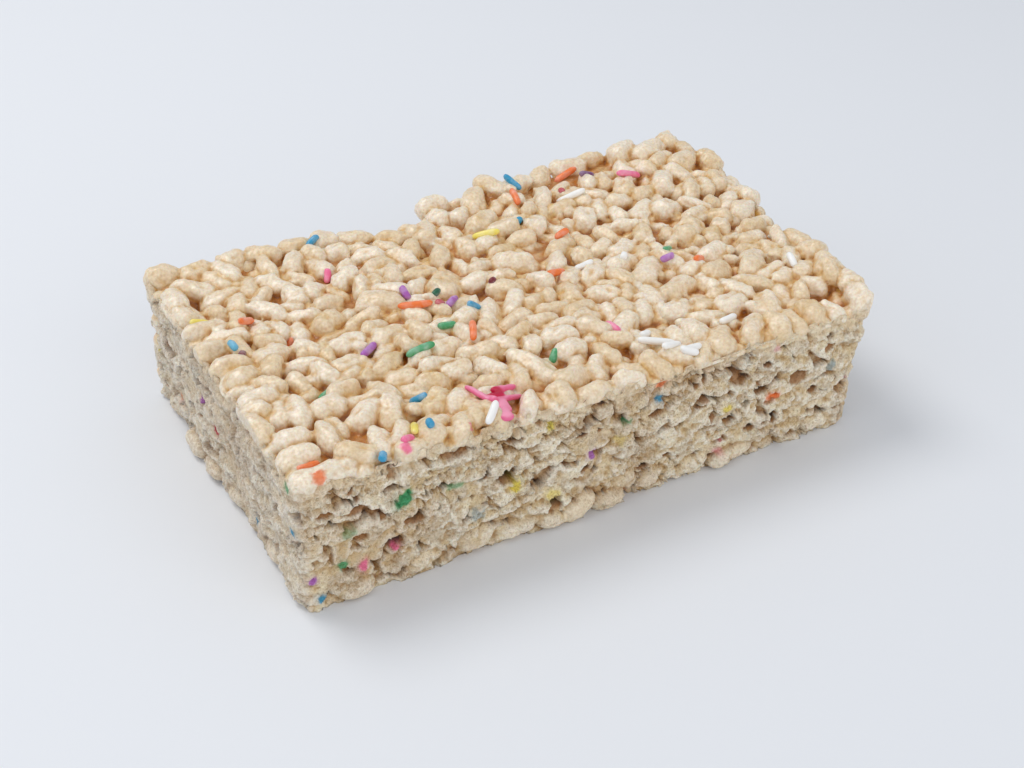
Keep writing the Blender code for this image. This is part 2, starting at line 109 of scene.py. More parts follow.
def latticeNoise(places, scale, seed):
    # Smooth noise from -1 to 1, always the same for the same seed
    cell = places * scale
    base = np.floor(cell).astype(np.int64)
    part = cell - base
    fade = part * part * (3.0 - 2.0 * part)
    total = np.zeros(len(places))
    for corner in range(8):
        step = np.array([(corner >> axis) & 1 for axis in range(3)])
        spot = base + step
        mixed = spot[:, 0] * 73856093 ^ spot[:, 1] * 19349663 ^ spot[:, 2] * 83492791 ^ seed * 265443577
        mixed = (mixed ^ (mixed >> 13)) * 1274126177 & 0x7FFFFFFF
        mixed = (mixed ^ (mixed >> 11)) * 668265263 & 0x7FFFFFFF
        value = ((mixed >> 9) & 0xFFFF) / 32767.5 - 1.0
        total += value * np.where(step, fade, 1.0 - fade).prod(axis=1)
    return total


def layeredNoise(places, scale, seed, layers=3):
    total = np.zeros(len(places))
    for layer in range(layers):
        total += latticeNoise(places, scale * 2.03 ** layer, seed + layer * 17) * 0.55 ** layer
    return total


def bubblePattern(places, scale, seed):
    # How far each place is from the wall of its bubble, and a chance from 0 to 1 that belongs to the bubble
    cell = places[:, :2] * scale
    base = np.floor(cell).astype(np.int64)
    first = np.full(len(cell), 9.0)
    second = np.full(len(cell), 9.0)
    chance = np.zeros(len(cell))
    for step in [(across, up) for across in (-1, 0, 1) for up in (-1, 0, 1)]:
        spot = base + step
        mixed = spot[:, 0] * 73856093 ^ spot[:, 1] * 19349663 ^ seed * 265443577
        mixed = (mixed ^ (mixed >> 13)) * 1274126177 & 0x7FFFFFFF
        mixed = (mixed ^ (mixed >> 11)) * 668265263 & 0x7FFFFFFF
        middle = spot + np.column_stack([(mixed & 0x3FF) / 1023.0, ((mixed >> 10) & 0x3FF) / 1023.0])
        distance = np.hypot(*(cell - middle).T)
        closer = distance < first
        second = np.where(closer, first, np.minimum(second, distance))
        chance = np.where(closer, ((mixed >> 20) & 0x3FF) / 1023.0, chance)
        first = np.minimum(first, distance)
    return (second - first) / scale, chance


def linear(red, green, blue):
    # A colour read as 0 to 255 on screen, as the renderer mixes it
    return np.array([(v / 255.0 / 12.92) if v <= 10 else ((v / 255.0 + 0.055) / 1.055) ** 2.4
                     for v in (red, green, blue)])


def blendColour(first, second, share):
    return first + (second - first) * np.asarray(share)[:, None]


def rightLine(y):
    return bar["rightFrontX"] + (bar["rightBackX"] - bar["rightFrontX"]) * (y - bar["frontY"]) / bar["depth"]


def backLine(x):
    notch = sum(depth * np.exp(-((x - middle) / half) ** 2) for middle, half, depth in bar["notches"])
    ease = bar["swellEase"]
    rise = smoothStep((x - bar["swellFrom"]) / ease) * smoothStep((bar["swellTo"] - x) / ease)
    return bar["backY"] - notch + bar["swellDepth"] * rise


def topLevel(x, y):
    x, y = float(x), float(y)
    wave = noise.noise(Vector((x * bar["waveScale"], y * bar["waveScale"], 3.7))) * bar["waveRise"]
    rise = sum(top * math.exp(-((x - knollX) ** 2 + (y - knollY) ** 2) / reach ** 2)
               for knollX, knollY, reach, top in bar["knolls"])
    return bar["height"] + wave + rise


def newObject(name, mesh):
    piece = bpy.data.objects.new(name, mesh)
    bpy.context.scene.collection.objects.link(piece)
    return piece


def meshFromShape(name, shape):
    mesh = bpy.data.meshes.new(name)
    shape.to_mesh(mesh)
    shape.free()
    return mesh


def readPlaces(mesh):
    flat = np.empty(len(mesh.vertices) * 3)
    mesh.vertices.foreach_get("co", flat)
    return flat.reshape(-1, 3)


def writePlaces(mesh, places):
    mesh.vertices.foreach_set("co", places.ravel())
    mesh.update()


def readNormals(mesh):
    flat = np.empty(len(mesh.vertices) * 3)
    mesh.vertices.foreach_get("normal", flat)
    return flat.reshape(-1, 3)


def edgeEnds(mesh):
    flat = np.empty(len(mesh.edges) * 2, dtype=np.int32)
    mesh.edges.foreach_get("vertices", flat)
    return flat.reshape(-1, 2)


def neighbourMean(values, ends):
    count = len(values)
    met = np.bincount(ends.ravel(), minlength=count).clip(1)
    mean = np.empty_like(values)
    for axis in range(values.shape[1]):
        column = values[:, axis]
        total = np.bincount(ends[:, 0], column[ends[:, 1]], count)
        total += np.bincount(ends[:, 1], column[ends[:, 0]], count)
        mean[:, axis] = total / met
    return mean


def evaluated(piece):
    # The piece with its modifiers, as a plain mesh
    graph = bpy.context.evaluated_depsgraph_get()
    return bpy.data.meshes.new_from_object(piece.evaluated_get(graph))


def removePiece(piece):
    mesh = piece.data
    bpy.data.objects.remove(piece)
    if mesh.users == 0:
        bpy.data.meshes.remove(mesh)


def toFrame(mesh):
    # The layout's millimetres become the frame's metres
    middle = Vector((-bar["middleX"], -bar["middleY"], 0.0))
    mesh.transform(Matrix.Scale(0.001, 4) @ Matrix.Translation(middle))


def setColour(mesh, name, colours):
    layer = mesh.color_attributes.new(name, "FLOAT_COLOR", "POINT")
    full = np.ones((len(colours), 4))
    full[:, :3] = colours
    layer.data.foreach_set("color", full.ravel())


def setNumber(mesh, name, values):
    layer = mesh.attributes.new(name, "FLOAT", "POINT")
    layer.data.foreach_set("value", np.asarray(values, dtype=np.float32))


def setVector(mesh, name, values):
    layer = mesh.attributes.new(name, "FLOAT_VECTOR", "POINT")
    layer.data.foreach_set("vector", np.asarray(values, dtype=np.float32).ravel())


def scatterTree():
    # Puts one of several shapes on every point, turned and sized by the point's attributes
    tree = bpy.data.node_groups.new("scatterShapes", "GeometryNodeTree")
    sockets = (
        ("Points", "INPUT", "NodeSocketGeometry"), ("Shapes", "INPUT", "NodeSocketCollection"),
        ("Overall size", "INPUT", "NodeSocketFloat"), ("Size variation", "INPUT", "NodeSocketFloat"),
        ("Seed", "INPUT", "NodeSocketInt"), ("Finish", "INPUT", "NodeSocketMaterial"),
        ("Geometry", "OUTPUT", "NodeSocketGeometry"),
    )
    for name, way, kind in sockets:
        tree.interface.new_socket(name, in_out=way, socket_type=kind)
    nodes, links = tree.nodes, tree.links
    given = nodes.new("NodeGroupInput")
    result = nodes.new("NodeGroupOutput")
    shapes = nodes.new("GeometryNodeCollectionInfo")
    shapes.inputs["Separate Children"].default_value = True
    shapes.inputs["Reset Children"].default_value = True
    read = {}
    for name, kind in (("turn", "FLOAT_VECTOR"), ("size", "FLOAT_VECTOR"), ("variant", "INT")):
        read[name] = nodes.new("GeometryNodeInputNamedAttribute")
        read[name].data_type = kind
        read[name].inputs["Name"].default_value = name
    turn = nodes.new("FunctionNodeEulerToRotation")
    vary = nodes.new("FunctionNodeRandomValue")
    vary.data_type = "FLOAT"
    for socket, operation in ((2, "SUBTRACT"), (3, "ADD")):
        limit = nodes.new("ShaderNodeMath")
        limit.operation = operation
        links.new(given.outputs["Overall size"], limit.inputs[0])
        links.new(given.outputs["Size variation"], limit.inputs[1])
        links.new(limit.outputs[0], vary.inputs[socket])
    size = nodes.new("ShaderNodeVectorMath")
    size.operation = "SCALE"
    place = nodes.new("GeometryNodeInstanceOnPoints")
    place.inputs["Pick Instance"].default_value = True
    real = nodes.new("GeometryNodeRealizeInstances")
    finish = nodes.new("GeometryNodeSetMaterial")
    links.new(given.outputs["Shapes"], shapes.inputs["Collection"])
    links.new(given.outputs["Seed"], vary.inputs["Seed"])
    links.new(read["size"].outputs["Attribute"], size.inputs[0])
    links.new(vary.outputs[1], size.inputs["Scale"])
    links.new(read["turn"].outputs["Attribute"], turn.inputs[0])
    links.new(given.outputs["Points"], place.inputs["Points"])
    links.new(shapes.outputs[0], place.inputs["Instance"])
    links.new(read["variant"].outputs["Attribute"], place.inputs["Instance Index"])
    links.new(turn.outputs[0], place.inputs["Rotation"])
    links.new(size.outputs[0], place.inputs["Scale"])
    links.new(place.outputs[0], real.inputs[0])
    links.new(real.outputs[0], finish.inputs["Geometry"])
    links.new(given.outputs["Finish"], finish.inputs["Material"])
    links.new(finish.outputs[0], result.inputs[0])
    return tree


def scatter(name, tree, shapes, items, finish, seed, variation=0.04):
    # items: place, turn, size and variant of each copy
    points = bpy.data.meshes.new(name)
    points.from_pydata([item["place"] for item in items], [], [])
    setVector(points, "turn", [item["turn"] for item in items])
    setVector(points, "size", [item["size"] for item in items])
    layer = points.attributes.new("variant", "INT", "POINT")
    layer.data.foreach_set("value", [item["variant"] for item in items])
    piece = newObject(name, points)
    modifier = piece.modifiers.new("scatter", "NODES")
    modifier.node_group = tree
    chosen = {
        "Shapes": shapes, "Overall size": 1.0, "Size variation": variation, "Seed": seed, "Finish": finish,
    }
    for socket in tree.interface.items_tree:
        if socket.name in chosen:
            modifier[socket.identifier] = chosen[socket.name]
    mesh = evaluated(piece)
    removePiece(piece)
    return mesh


def shapeCollection(name, meshes):
    group = bpy.data.collections.new(name)
    bpy.context.scene.collection.children.link(group)
    for number, mesh in enumerate(meshes):
        piece = bpy.data.objects.new(f"{name}{number:02d}", mesh)
        piece.hide_render = True
        group.objects.link(piece)
    return group


def removeCollection(group):
    for piece in list(group.objects):
        removePiece(piece)
    bpy.data.collections.remove(group)


# Grains of puffed rice
grain = {
    "halfLength": (2.7, 4.1), "radius": (1.5, 2.15), "tilt": 12.0, "lift": (-0.9, 0.3),
    "topCount": 370, "jitter": 0.3, "packing": 0.86, "endDisc": 0.86, "settleSteps": 80, "pushShare": 0.7,
    "turnShare": 0.25, "mostTurn": 0.3, "stoutness": 1.02, "placedLift": 0.15, "placedTilt": 0.5,
    "shapes": 12, "lump": 0.2, "fineLump": 0.1, "groove": 0.16, "bend": 0.14, "knobbly": 2.1,
}

# The grains that stand out on the top: x, y, heading in degrees, length and width
placedGrains = (
    (-50.8, -17.8, 80, 8.5, 3.8), (-46.3, -18.8, 15, 6.5, 4.2), (-42.3, -15.8, 20, 6.8, 4.2),
    (-58.0, -19.3, 95, 7, 3.5), (-54.3, -24.1, -10, 6, 3.8), (-49.5, -25.8, 85, 7.5, 3.8),
    (-55.3, -28.3, 3, 7, 4.2), (-53.5, -33.5, 6, 11.5, 4.6), (-47.3, -31.8, -25, 7, 4.2),
    (-42.8, -30.3, 75, 8, 3.8), (-41.8, -22.8, 35, 8, 4.2), (-37.8, -23.8, 65, 9, 4.2),
    (-36.6, -18.3, 115, 6.5, 3.2), (-32.3, -16.3, -10, 6.2, 4.2), (-34.6, -31.5, 60, 8.5, 5.0),
    (-30.8, -25.3, 40, 6.8, 4.2), (-48.3, 0.2, 10, 7.5, 5.0), (-54.8, -4.8, 20, 6.5, 5.0),
    (-56.3, 5.7, 15, 6.5, 4.0), (-42.3, -1.3, 120, 5.5, 3.4), (-35.8, -2.6, 5, 7.5, 4.6),
    (-35.8, 5.2, 25, 6.3, 4.4), (-37.8, -8.3, 15, 7.5, 4.4), (-42.8, -9.8, 110, 7, 4.0),
    (-32.8, -11.8, 30, 7.8, 4.0), (-28.8, -4.3, 10, 6.5, 4.4), (-52.3, 26.2, -35, 8.5, 5.0),
    (-49.8, 31.0, 20, 7, 4.0), (-45.3, 28.8, 110, 8, 4.0), (-47.3, 17.7, 70, 7, 4.4),
    (-33.0, 26.5, 60, 8, 4.0), (-37.3, 16.0, 100, 6, 4.0), (-33.3, 11.0, 10, 6.5, 4.0),
    (-18.8, -21.5, 100, 8, 3.8), (-12.6, -24.5, 108, 11.5, 4.2), (-21.3, -25.0, -10, 5, 3.6),
    (-8.5, -29.5, 15, 8.5, 4.6), (-4.6, -18.9, -15, 7, 4.2), (-4.8, -22.9, 10, 6.5, 4.2),
    (-3.3, -28.8, 60, 7, 4.4), (-28.8, -20.3, -20, 6, 4.2), (-27.5, -26.5, 50, 7, 4.0),
    (-18.3, -33.0, 60, 6.5, 4.0), (-12.6, 7.0, 65, 11, 6.4), (-25.3, 6.2, -35, 9, 5.4),
    (-5.5, -5.2, 50, 8.5, 4.2), (-10.5, -5.8, 60, 8.5, 4.2), (-3.0, 3.3, 10, 5.5, 4.0),
    (-15.3, -5.8, 20, 6, 4.2), (-22.8, -13.3, 15, 7, 4.2), (-24.3, -6.0, 100, 6, 3.2),
    (-28.0, -9.0, 100, 5.5, 3.0), (-3.8, -12.8, 0, 6, 4.2), (-8.8, 16.2, 60, 6.5, 3.4),
    (-12.3, 20.7, 60, 6.5, 3.2), (-15.1, 19.3, -60, 7.5, 3.2), (-19.8, 18.7, 10, 7, 4.8),
    (-7.3, 25.5, 60, 8.5, 4.6), (-27.0, 17.0, 30, 6.5, 4.4), (19.5, -19.5, 15, 8.5, 4.6),
    (17.0, -27.0, 70, 8, 4.8), (10.0, -32.0, -20, 7, 4.6), (19.5, -31.5, 50, 8.5, 4.8),
    (25.5, -32.0, 45, 8.5, 4.0), (27.8, -23.0, 20, 7, 5.0), (13.0, -17.5, 60, 6, 3.6),
    (22.5, -14.0, 15, 8.5, 4.8), (5.0, -7.0, 80, 7.5, 4.6), (2.0, 7.5, -30, 9, 5.6),
    (21.0, -6.5, 40, 9.5, 5.4), (22.0, 2.5, 30, 8, 5.0), (13.0, -2.0, 40, 9, 5.0), (12.5, 8.5, 20, 8, 4.4),
    (28.0, 5.0, 60, 6, 3.6), (6.0, 30.5, 60, 9, 4.4), (12.0, 17.0, 60, 8, 4.6), (22.0, 16.0, 60, 8, 5.0),
    (4.0, 23.5, 30, 8.5, 5.2), (1.0, 16.2, 30, 6, 4.0), (18.5, 25.5, 60, 8, 4.4), (32.8, -26.3, 60, 9, 5.6),
    (41.0, -20.5, 30, 5, 3.4), (40.5, -26.0, 60, 5.5, 3.6), (48.9, -23.4, 70, 8.4, 5.0),
    (38.0, -32.0, 80, 7, 4.4), (47.4, -33.0, 72, 7.6, 4.8), (38.5, -14.8, 30, 7, 4.4),
    (35.8, 1.5, 35, 10, 5.8), (40.8, 6.2, 20, 6.5, 4.6), (35.0, -7.6, 20, 7.5, 5.0),
    (31.8, -12.9, 20, 7.5, 4.8), (40.3, -12.0, 15, 5.5, 4.4), (51.0, 4.5, 30, 8, 5.0),
    (48.5, -1.8, 5, 6, 4.0), (44.8, -6.0, 10, 6.5, 4.4), (48.6, -9.5, 70, 7, 3.4),
    (46.5, 8.8, 60, 4.5, 3.4), (37.3, 10.8, 10, 7, 4.4), (46.0, 15.0, 55, 8, 4.0),
    (49.3, -28.5, 75, 6.2, 4.4), (42.0, 33.6, 30, 8, 5.0), (-9.6, 27.0, 100, 5.5, 4.2),
    (1.4, 27.6, 30, 4.6, 3.8), (-2.2, 29.6, 80, 5.6, 4.2), (50.5, 25.0, 30, 9, 5.6),
    (55.0, 29.5, 75, 8, 4.6), (42.5, 20.0, 60, 9, 4.4), (35.0, 22.0, 60, 8, 4.4), (47.0, 31.5, 20, 9, 5.6),
    (53.0, 16.5, 70, 7, 4.0),
)


# Hollows in the top, where painted amber shade shows between the grains: x, y and radius
topHollows = (
    (-54.3, -20.3, 1.2), (-45.8, -22.8, 1.2), (-51.8, -30.3, 1.1), (-36.3, -27.3, 1.4), (-42.8, 3.7, 1.7),
    (-41.8, -4.3, 1.2), (-49.8, -8.3, 1.2), (-52.8, 21.7, 2.0), (-40.8, 16.7, 1.3), (-35.8, 24.7, 1.3),
    (-22.8, -22.4, 2.1), (-15.8, -29.8, 1.2), (-8.0, 2.2, 1.6), (-1.0, -0.5, 1.2), (-25.8, 1.2, 1.2),
    (-18.3, 27.7, 1.2), (-23.8, 23.7, 1.2), (-12.8, 13.9, 1.5), (-1.8, 12.9, 1.3),
    (5.2, -1.0, 1.3), (8.2, -10.3, 1.2), (3.2, -28.3, 1.5), (27.2, -19.0, 1.3), (17.2, 12.7, 1.5),
    (15.2, 20.7, 1.2), (43.2, -15.6, 1.3), (43.0, -27.6, 1.8), (29.9, 2.0, 1.4), (44.2, -1.8, 1.2),
    (41.2, 14.0, 2.0), (50.2, 11.7, 1.6), (30.2, 14.0, 1.3), (56.0, 22.0, 1.2),
)

# The rims: how far apart the grains lie, how far they stand out, their lengths, widths and spread of headings
rimRow = {
    "apart": 6.0, "out": 0.7, "rightOut": 1.2, "frontOut": 0.2, "length": (5.8, 7.8), "width": (3.8, 4.9),
    "backTurn": 32.0, "frontTurn": 70.0, "clear": 1.2, "wander": 0.6, "rightCloser": 0.85,
    # How far each row starts and stops from its corners
    "back": (4.0, 2.0), "right": (4.0, 3.0), "front": (4.0, 2.0), "left": (6.0, 4.0),
    # The right rim's grains ride higher: how far in from the edge, and up to which y
    "rightLift": 0.6, "lifted": ((5.0, 8.0), (4.0, -16.0)),
}


def rimSpots(side, low, high, apart):
    start, stop = rimRow[side]
    return np.arange(low + start, high - stop, apart)


def rimGrainsByRule(rng):
    # A row along the back, one up each end and one along the front
    left, right, front, back = bar["leftX"], bar["rightBackX"], bar["frontY"], bar["backY"]
    cut, apart, loose, held = -rimRow["frontOut"], rimRow["apart"], rimRow["backTurn"], rimRow["frontTurn"]
    spots = []
    for x in rimSpots("back", left, right, apart):
        spots.append((x, float(backLine(x)) + rimRow["out"], 0.0, -1.0, 0.0, loose))
    for y in rimSpots("right", front, back, apart * rimRow["rightCloser"]):
        spots.append((float(rightLine(y)) + rimRow["rightOut"], y, -1.0, 0.0, 80.0, loose))
    for x in rimSpots("front", left, bar["rightFrontX"], apart):
        spots.append((x, front + cut, 0.0, 1.0, 0.0, held))
    for y in rimSpots("left", front, back, apart):
        spots.append((left + cut, y, 1.0, 0.0, 90.0, held))
    rim = []
    for x, y, inX, inY, heading, spread in spots:
        length, width = rng.uniform(*rimRow["length"]), rng.uniform(*rimRow["width"])
        heading += float(np.clip(rng.normal(0.0, spread), -90.0, 90.0))
        turn = math.radians(heading)
        reach = math.hypot((length * math.cos(turn) * inX + length * math.sin(turn) * inY) / 2,
                           (width * math.sin(turn) * inX - width * math.cos(turn) * inY) / 2)
        x += inX * reach - (inY != 0.0) * rng.uniform(-rimRow["wander"], rimRow["wander"])
        y += inY * reach - (inX != 0.0) * rng.uniform(-rimRow["wander"], rimRow["wander"])
        x = min(x, float(rightLine(y)) + rimRow["rightOut"] - width / 2)
        if not insideGrain(np.array([x]), np.array([y]), placedGrains + tuple(rim), rimRow["clear"])[0]:
            rim.append((x, y, heading, length, width))
    return tuple(rim)


def nearHollow(x, y, least=0.0):
    return any(math.hypot(x - middleX, y - middleY) < radius + riceTop["hollowClear"]
               for middleX, middleY, radius in topHollows if radius > least)


def grainShape(number):
    # A blunt, lumpy puff, creased along one side and slightly bent. Every fourth one is knobbly
    shape = bmesh.new()
    bmesh.ops.create_icosphere(shape, subdivisions=4, radius=1.0)
    offset = Vector((number * 3.71, number * 1.3, 5.0))
    taper = 0.10 + 0.10 * noise.noise(offset)
    knobbly = grain["knobbly"] if number % 4 == 3 else 1.0
    for vert in shape.verts:
        d = vert.co.copy()
        lump = noise.noise(Vector((d.x * 1.7, d.y * 1.1, d.z * 1.1)) + offset) * grain["lump"]
        lump += noise.noise(Vector((d.x * 4.2, d.y * 2.4, d.z * 2.4)) - offset) * grain["fineLump"] * knobbly
        around = math.atan2(d.z, d.y)
        side = math.cos(around - number * 2.4)
        groove = grain["groove"] * math.exp(-((side - 1.0) / 0.08) ** 2) * (1.0 - d.x * d.x)
        roundWidth = math.sqrt(max(1e-6, 1.0 - d.x * d.x))
        bluntWidth = max(1e-6, 1.0 - abs(d.x) ** 2.9) ** 0.47
        plump = min(1.35, bluntWidth / roundWidth) * (1.0 - taper * d.x)
        width = plump * (1.0 + lump - groove)
        bend = grain["bend"] * (d.x * d.x - 0.35) * (1 if number % 2 else -1)
        vert.co = Vector((d.x * (1.0 + lump * 0.35), d.y * width + bend, d.z * width))
    return meshFromShape("grainShape", shape)


def wallPush(discs, discRadius):
    push = np.zeros_like(discs)
    push[:, 1] += np.maximum(bar["frontY"] - bar["cutOut"] + discRadius - discs[:, 1], 0.0)
    push[:, 1] -= np.maximum(discs[:, 1] + discRadius - backLine(discs[:, 0]) - bar["rimOut"], 0.0)
    push[:, 0] += np.maximum(bar["leftX"] - bar["cutOut"] + discRadius - discs[:, 0], 0.0)
    push[:, 0] -= np.maximum(discs[:, 0] + discRadius - rightLine(discs[:, 1]) - bar["rimOut"], 0.0)
    return push


def insideGrain(x, y, placed, clear=0.5):
    # Whether each place lies on one of the placed grains
    inside = np.zeros(len(x), dtype=bool)
    for middleX, middleY, heading, length, width in placed:
        turn = math.radians(heading)
        along = (x - middleX) * math.cos(turn) + (y - middleY) * math.sin(turn)
        aside = (y - middleY) * math.cos(turn) - (x - middleX) * math.sin(turn)
        inside |= (along / (length / 2 + clear)) ** 2 + (aside / (width / 2 + clear)) ** 2 < 1.0
    return inside


def settleGrains(rng, count, placed=(), hollows=()):
    # Each grain lies as three discs in a row. Those given stay, and the others' discs push apart
    # until they fit in beside them. Hollows keep their room
    half = rng.uniform(*grain["halfLength"], count)
    radius = rng.uniform(*grain["radius"], count)
    heading = rng.uniform(0.0, math.pi, count)
    columns = math.ceil(math.sqrt(count * bar["backLength"] / bar["depth"]))
    rows = math.ceil(count / columns)
    slot = np.arange(count)
    along = (slot % columns + 0.5 + rng.uniform(-grain["jitter"], grain["jitter"], count)) / columns
    across = (slot // columns + 0.5 + rng.uniform(-grain["jitter"], grain["jitter"], count)) / rows
    y = bar["frontY"] + across * bar["depth"]
    place = np.column_stack([bar["leftX"] + along * (rightLine(y) - bar["leftX"]), y])
    if placed:
        stay = placed + tuple((x, y, 0.0, radius * 2.0 + 0.1, radius * 2.0) for x, y, radius in hollows)
        free = ~insideGrain(place[:, 0], place[:, 1], stay)
        stay = np.array(stay, dtype=float)
        place = np.vstack([stay[:, :2], place[free]])
        heading = np.concatenate([np.radians(stay[:, 2]), heading[free]])
        half = np.concatenate([stay[:, 3] / 2, half[free]])
        radius = np.concatenate([stay[:, 4] / 2 * grain["stoutness"], radius[free]])
        slot = np.arange(len(half))
        print("top grains", len(half), "of them placed by eye", len(placedGrains))
    loose = (slot >= len(placed) + len(hollows)).astype(float)
    reach = (half - radius)[:, None] * np.array([-1.0, 0.0, 1.0])
    discRadius = (radius[:, None] * np.array([grain["endDisc"], 1.0, grain["endDisc"]])).ravel()
    owner = np.repeat(slot, 3)
    wanted = grain["packing"] * (discRadius[:, None] + discRadius[None, :])
    wanted[owner[:, None] == owner[None, :]] = 0.0
    for _ in range(grain["settleSteps"]):
        way = np.column_stack([np.cos(heading), np.sin(heading)])
        discs = (place[:, None, :] + reach[:, :, None] * way[:, None, :]).reshape(-1, 2)
        apart = discs[:, None, :] - discs[None, :, :]
        distance = np.sqrt((apart ** 2).sum(axis=2)) + 1e-6
        overlap = np.maximum(wanted - distance, 0.0)
        push = (apart * (overlap / distance)[:, :, None]).sum(axis=1) * 0.5
        push = (push + wallPush(discs, discRadius)).reshape(-1, 3, 2)
        place += push.mean(axis=1) * grain["pushShare"] * loose[:, None]
        turn = (reach * (way[:, None, 0] * push[:, :, 1] - way[:, None, 1] * push[:, :, 0])).sum(axis=1)
        turn = grain["turnShare"] * turn / (half - radius) ** 2
        heading += np.clip(turn, -grain["mostTurn"], grain["mostTurn"]) * loose
    return [
        {"x": place[i, 0], "y": place[i, 1], "heading": heading[i], "half": half[i], "radius": radius[i]}
        for i in slot if i < len(placed) or loose[i]
    ]


def grainItem(one, number):
    flat = 0.9 + 0.12 * math.sin(number * 1.9)
    return {
        "place": (one["x"], one["y"], one["z"]),
        "turn": (number * 2.13, one["tilt"], one["heading"]),
        "size": (one["half"], one["radius"], one["radius"] * flat),
        "variant": number % grain["shapes"],
    }


# The cobbled upper rice
riceTop = {
    "lowerCount": 300, "lowerDrop": 1.6, "bits": 110, "bitRadius": (0.8, 1.35), "bitsFromBack": 4.0,
    "slabBelow": 2.9, "slabInset": 2.2, "slabStep": 1.5, "slabRows": 50, "slabFloor": 17.7,
    "hollowDip": 2.0, "hollowClear": 0.5, "largeHollow": 1.35,
    "floor": 19.2, "voxel": 0.34, "splits": (-22.0, 17.0), "overlap": 1.5, "webSteps": 2, "webShare": 0.4,
    "squashKept": 0.06, "cutInset": -0.15, "cutUnder": 1.7, "underFrom": 2.7, "underOver": 1.4,
    "cavitySteps": 30, "creaseSteps": 7, "wrinkle": 0.13,
}


def topGrains():
    rng = np.random.default_rng(41)
    stay = placedGrains + rimGrainsByRule(rng)
    upper = settleGrains(rng, grain["topCount"], stay, topHollows)
    for number, one in enumerate(upper):
        placed = number < len(stay)
        lift = grain["placedLift"] + rng.uniform(-0.35, 0.2) if placed else rng.uniform(*grain["lift"])
        for inside, farthest in rimRow["lifted"]:
            lift += rimRow["rightLift"] * (one["x"] > rightLine(one["y"]) - inside and one["y"] < farthest)
        one["z"] = topLevel(one["x"], one["y"]) - one["radius"] + lift
        one["tilt"] = rng.normal(0.0, math.radians(grain["tilt"] * (grain["placedTilt"] if placed else 1.0)))
    return upper


def lowerGrains():
    rng = np.random.default_rng(77)
    lower = settleGrains(rng, riceTop["lowerCount"])
    lower = [one for one in lower if not nearHollow(one["x"], one["y"], riceTop["largeHollow"])]
    for one in lower:
        level = topLevel(one["x"], one["y"]) - riceTop["lowerDrop"]
        one["z"] = level - one["radius"] + rng.uniform(-0.5, 0.5)
        one["tilt"] = rng.normal(0.0, 0.2)
    return lower


def brokenBits():
    # Crumbs of rice caught between the grains
    rng = np.random.default_rng(9)
    bits = []
    for _ in range(riceTop["bits"]):
        y = rng.uniform(bar["frontY"] + 1.5, bar["backY"] - 3.0)
        x = rng.uniform(bar["leftX"] + 1.5, rightLine(y) - 2.0)
        radius = rng.uniform(*riceTop["bitRadius"])
        if nearHollow(x, y):
            continue
        bits.append({
            "x": x, "y": y, "z": topLevel(x, y) - radius + rng.uniform(-1.4, -0.2),
            "heading": rng.uniform(0, 3.1), "tilt": rng.uniform(-0.5, 0.5),
            "half": radius * rng.uniform(1.0, 1.5), "radius": radius,
        })
    return [bit for bit in bits if bit["y"] < backLine(bit["x"]) - riceTop["bitsFromBack"]]


def hollowDip(x, y):
    return sum(riceTop["hollowDip"] * math.exp(-((x - middleX) ** 2 + (y - middleY) ** 2) / radius ** 2)
               for middleX, middleY, radius in topHollows if radius > riceTop["largeHollow"])


def slabMesh(fromX, toX):
    # The marshmallow under the grains, up to a little below their tops and lower in the hollows
    inset, step, floor = riceTop["slabInset"], riceTop["slabStep"], riceTop["slabFloor"]
    xs = np.arange(max(fromX, bar["leftX"] + inset), min(toX, bar["rightBackX"] - inset) + step, step)
    shape = bmesh.new()
    rows = []
    for x in xs:
        row = []
        back = float(backLine(min(x, bar["rightBackX"]))) - inset * 0.9
        for share in np.linspace(0.0, 1.0, riceTop["slabRows"]):
            y = bar["frontY"] + inset + share * (back - bar["frontY"] - inset)
            placeX = min(x, float(rightLine(y)) - inset)
            row.append((placeX, y, topLevel(placeX, y) - riceTop["slabBelow"] - hollowDip(placeX, y)))
        rows.append(row)
    upper = [[shape.verts.new(place) for place in row] for row in rows]
    lower = [[shape.verts.new((place[0], place[1], floor)) for place in row] for row in rows]
    last = len(rows[0]) - 1
    for i in range(len(rows) - 1):
        for j in range(last):
            shape.faces.new((upper[i][j], upper[i + 1][j], upper[i + 1][j + 1], upper[i][j + 1]))
            shape.faces.new((lower[i][j], lower[i][j + 1], lower[i + 1][j + 1], lower[i + 1][j]))
        shape.faces.new((upper[i][0], lower[i][0], lower[i + 1][0], upper[i + 1][0]))
        shape.faces.new((upper[i][last], upper[i + 1][last], lower[i + 1][last], lower[i][last]))
    for end, flip in ((0, False), (len(rows) - 1, True)):
        for j in range(last):
            corners = [upper[end][j], upper[end][j + 1], lower[end][j + 1], lower[end][j]]
            shape.faces.new(corners[::-1] if flip else corners)
    bmesh.ops.remove_doubles(shape, verts=shape.verts[:], dist=0.02)
    bmesh.ops.recalc_face_normals(shape, faces=shape.faces[:])
    return meshFromShape("slab", shape)


def remeshed(meshes, voxel):
    # Shapes that overlap become one skin
    shape = bmesh.new()
    for mesh in meshes:
        shape.from_mesh(mesh)
    piece = newObject("joined", meshFromShape("joined", shape))
    modifier = piece.modifiers.new("skin", "REMESH")
    modifier.mode = "VOXEL"
    modifier.voxel_size = voxel
    mesh = evaluated(piece)
    removePiece(piece)
    return mesh


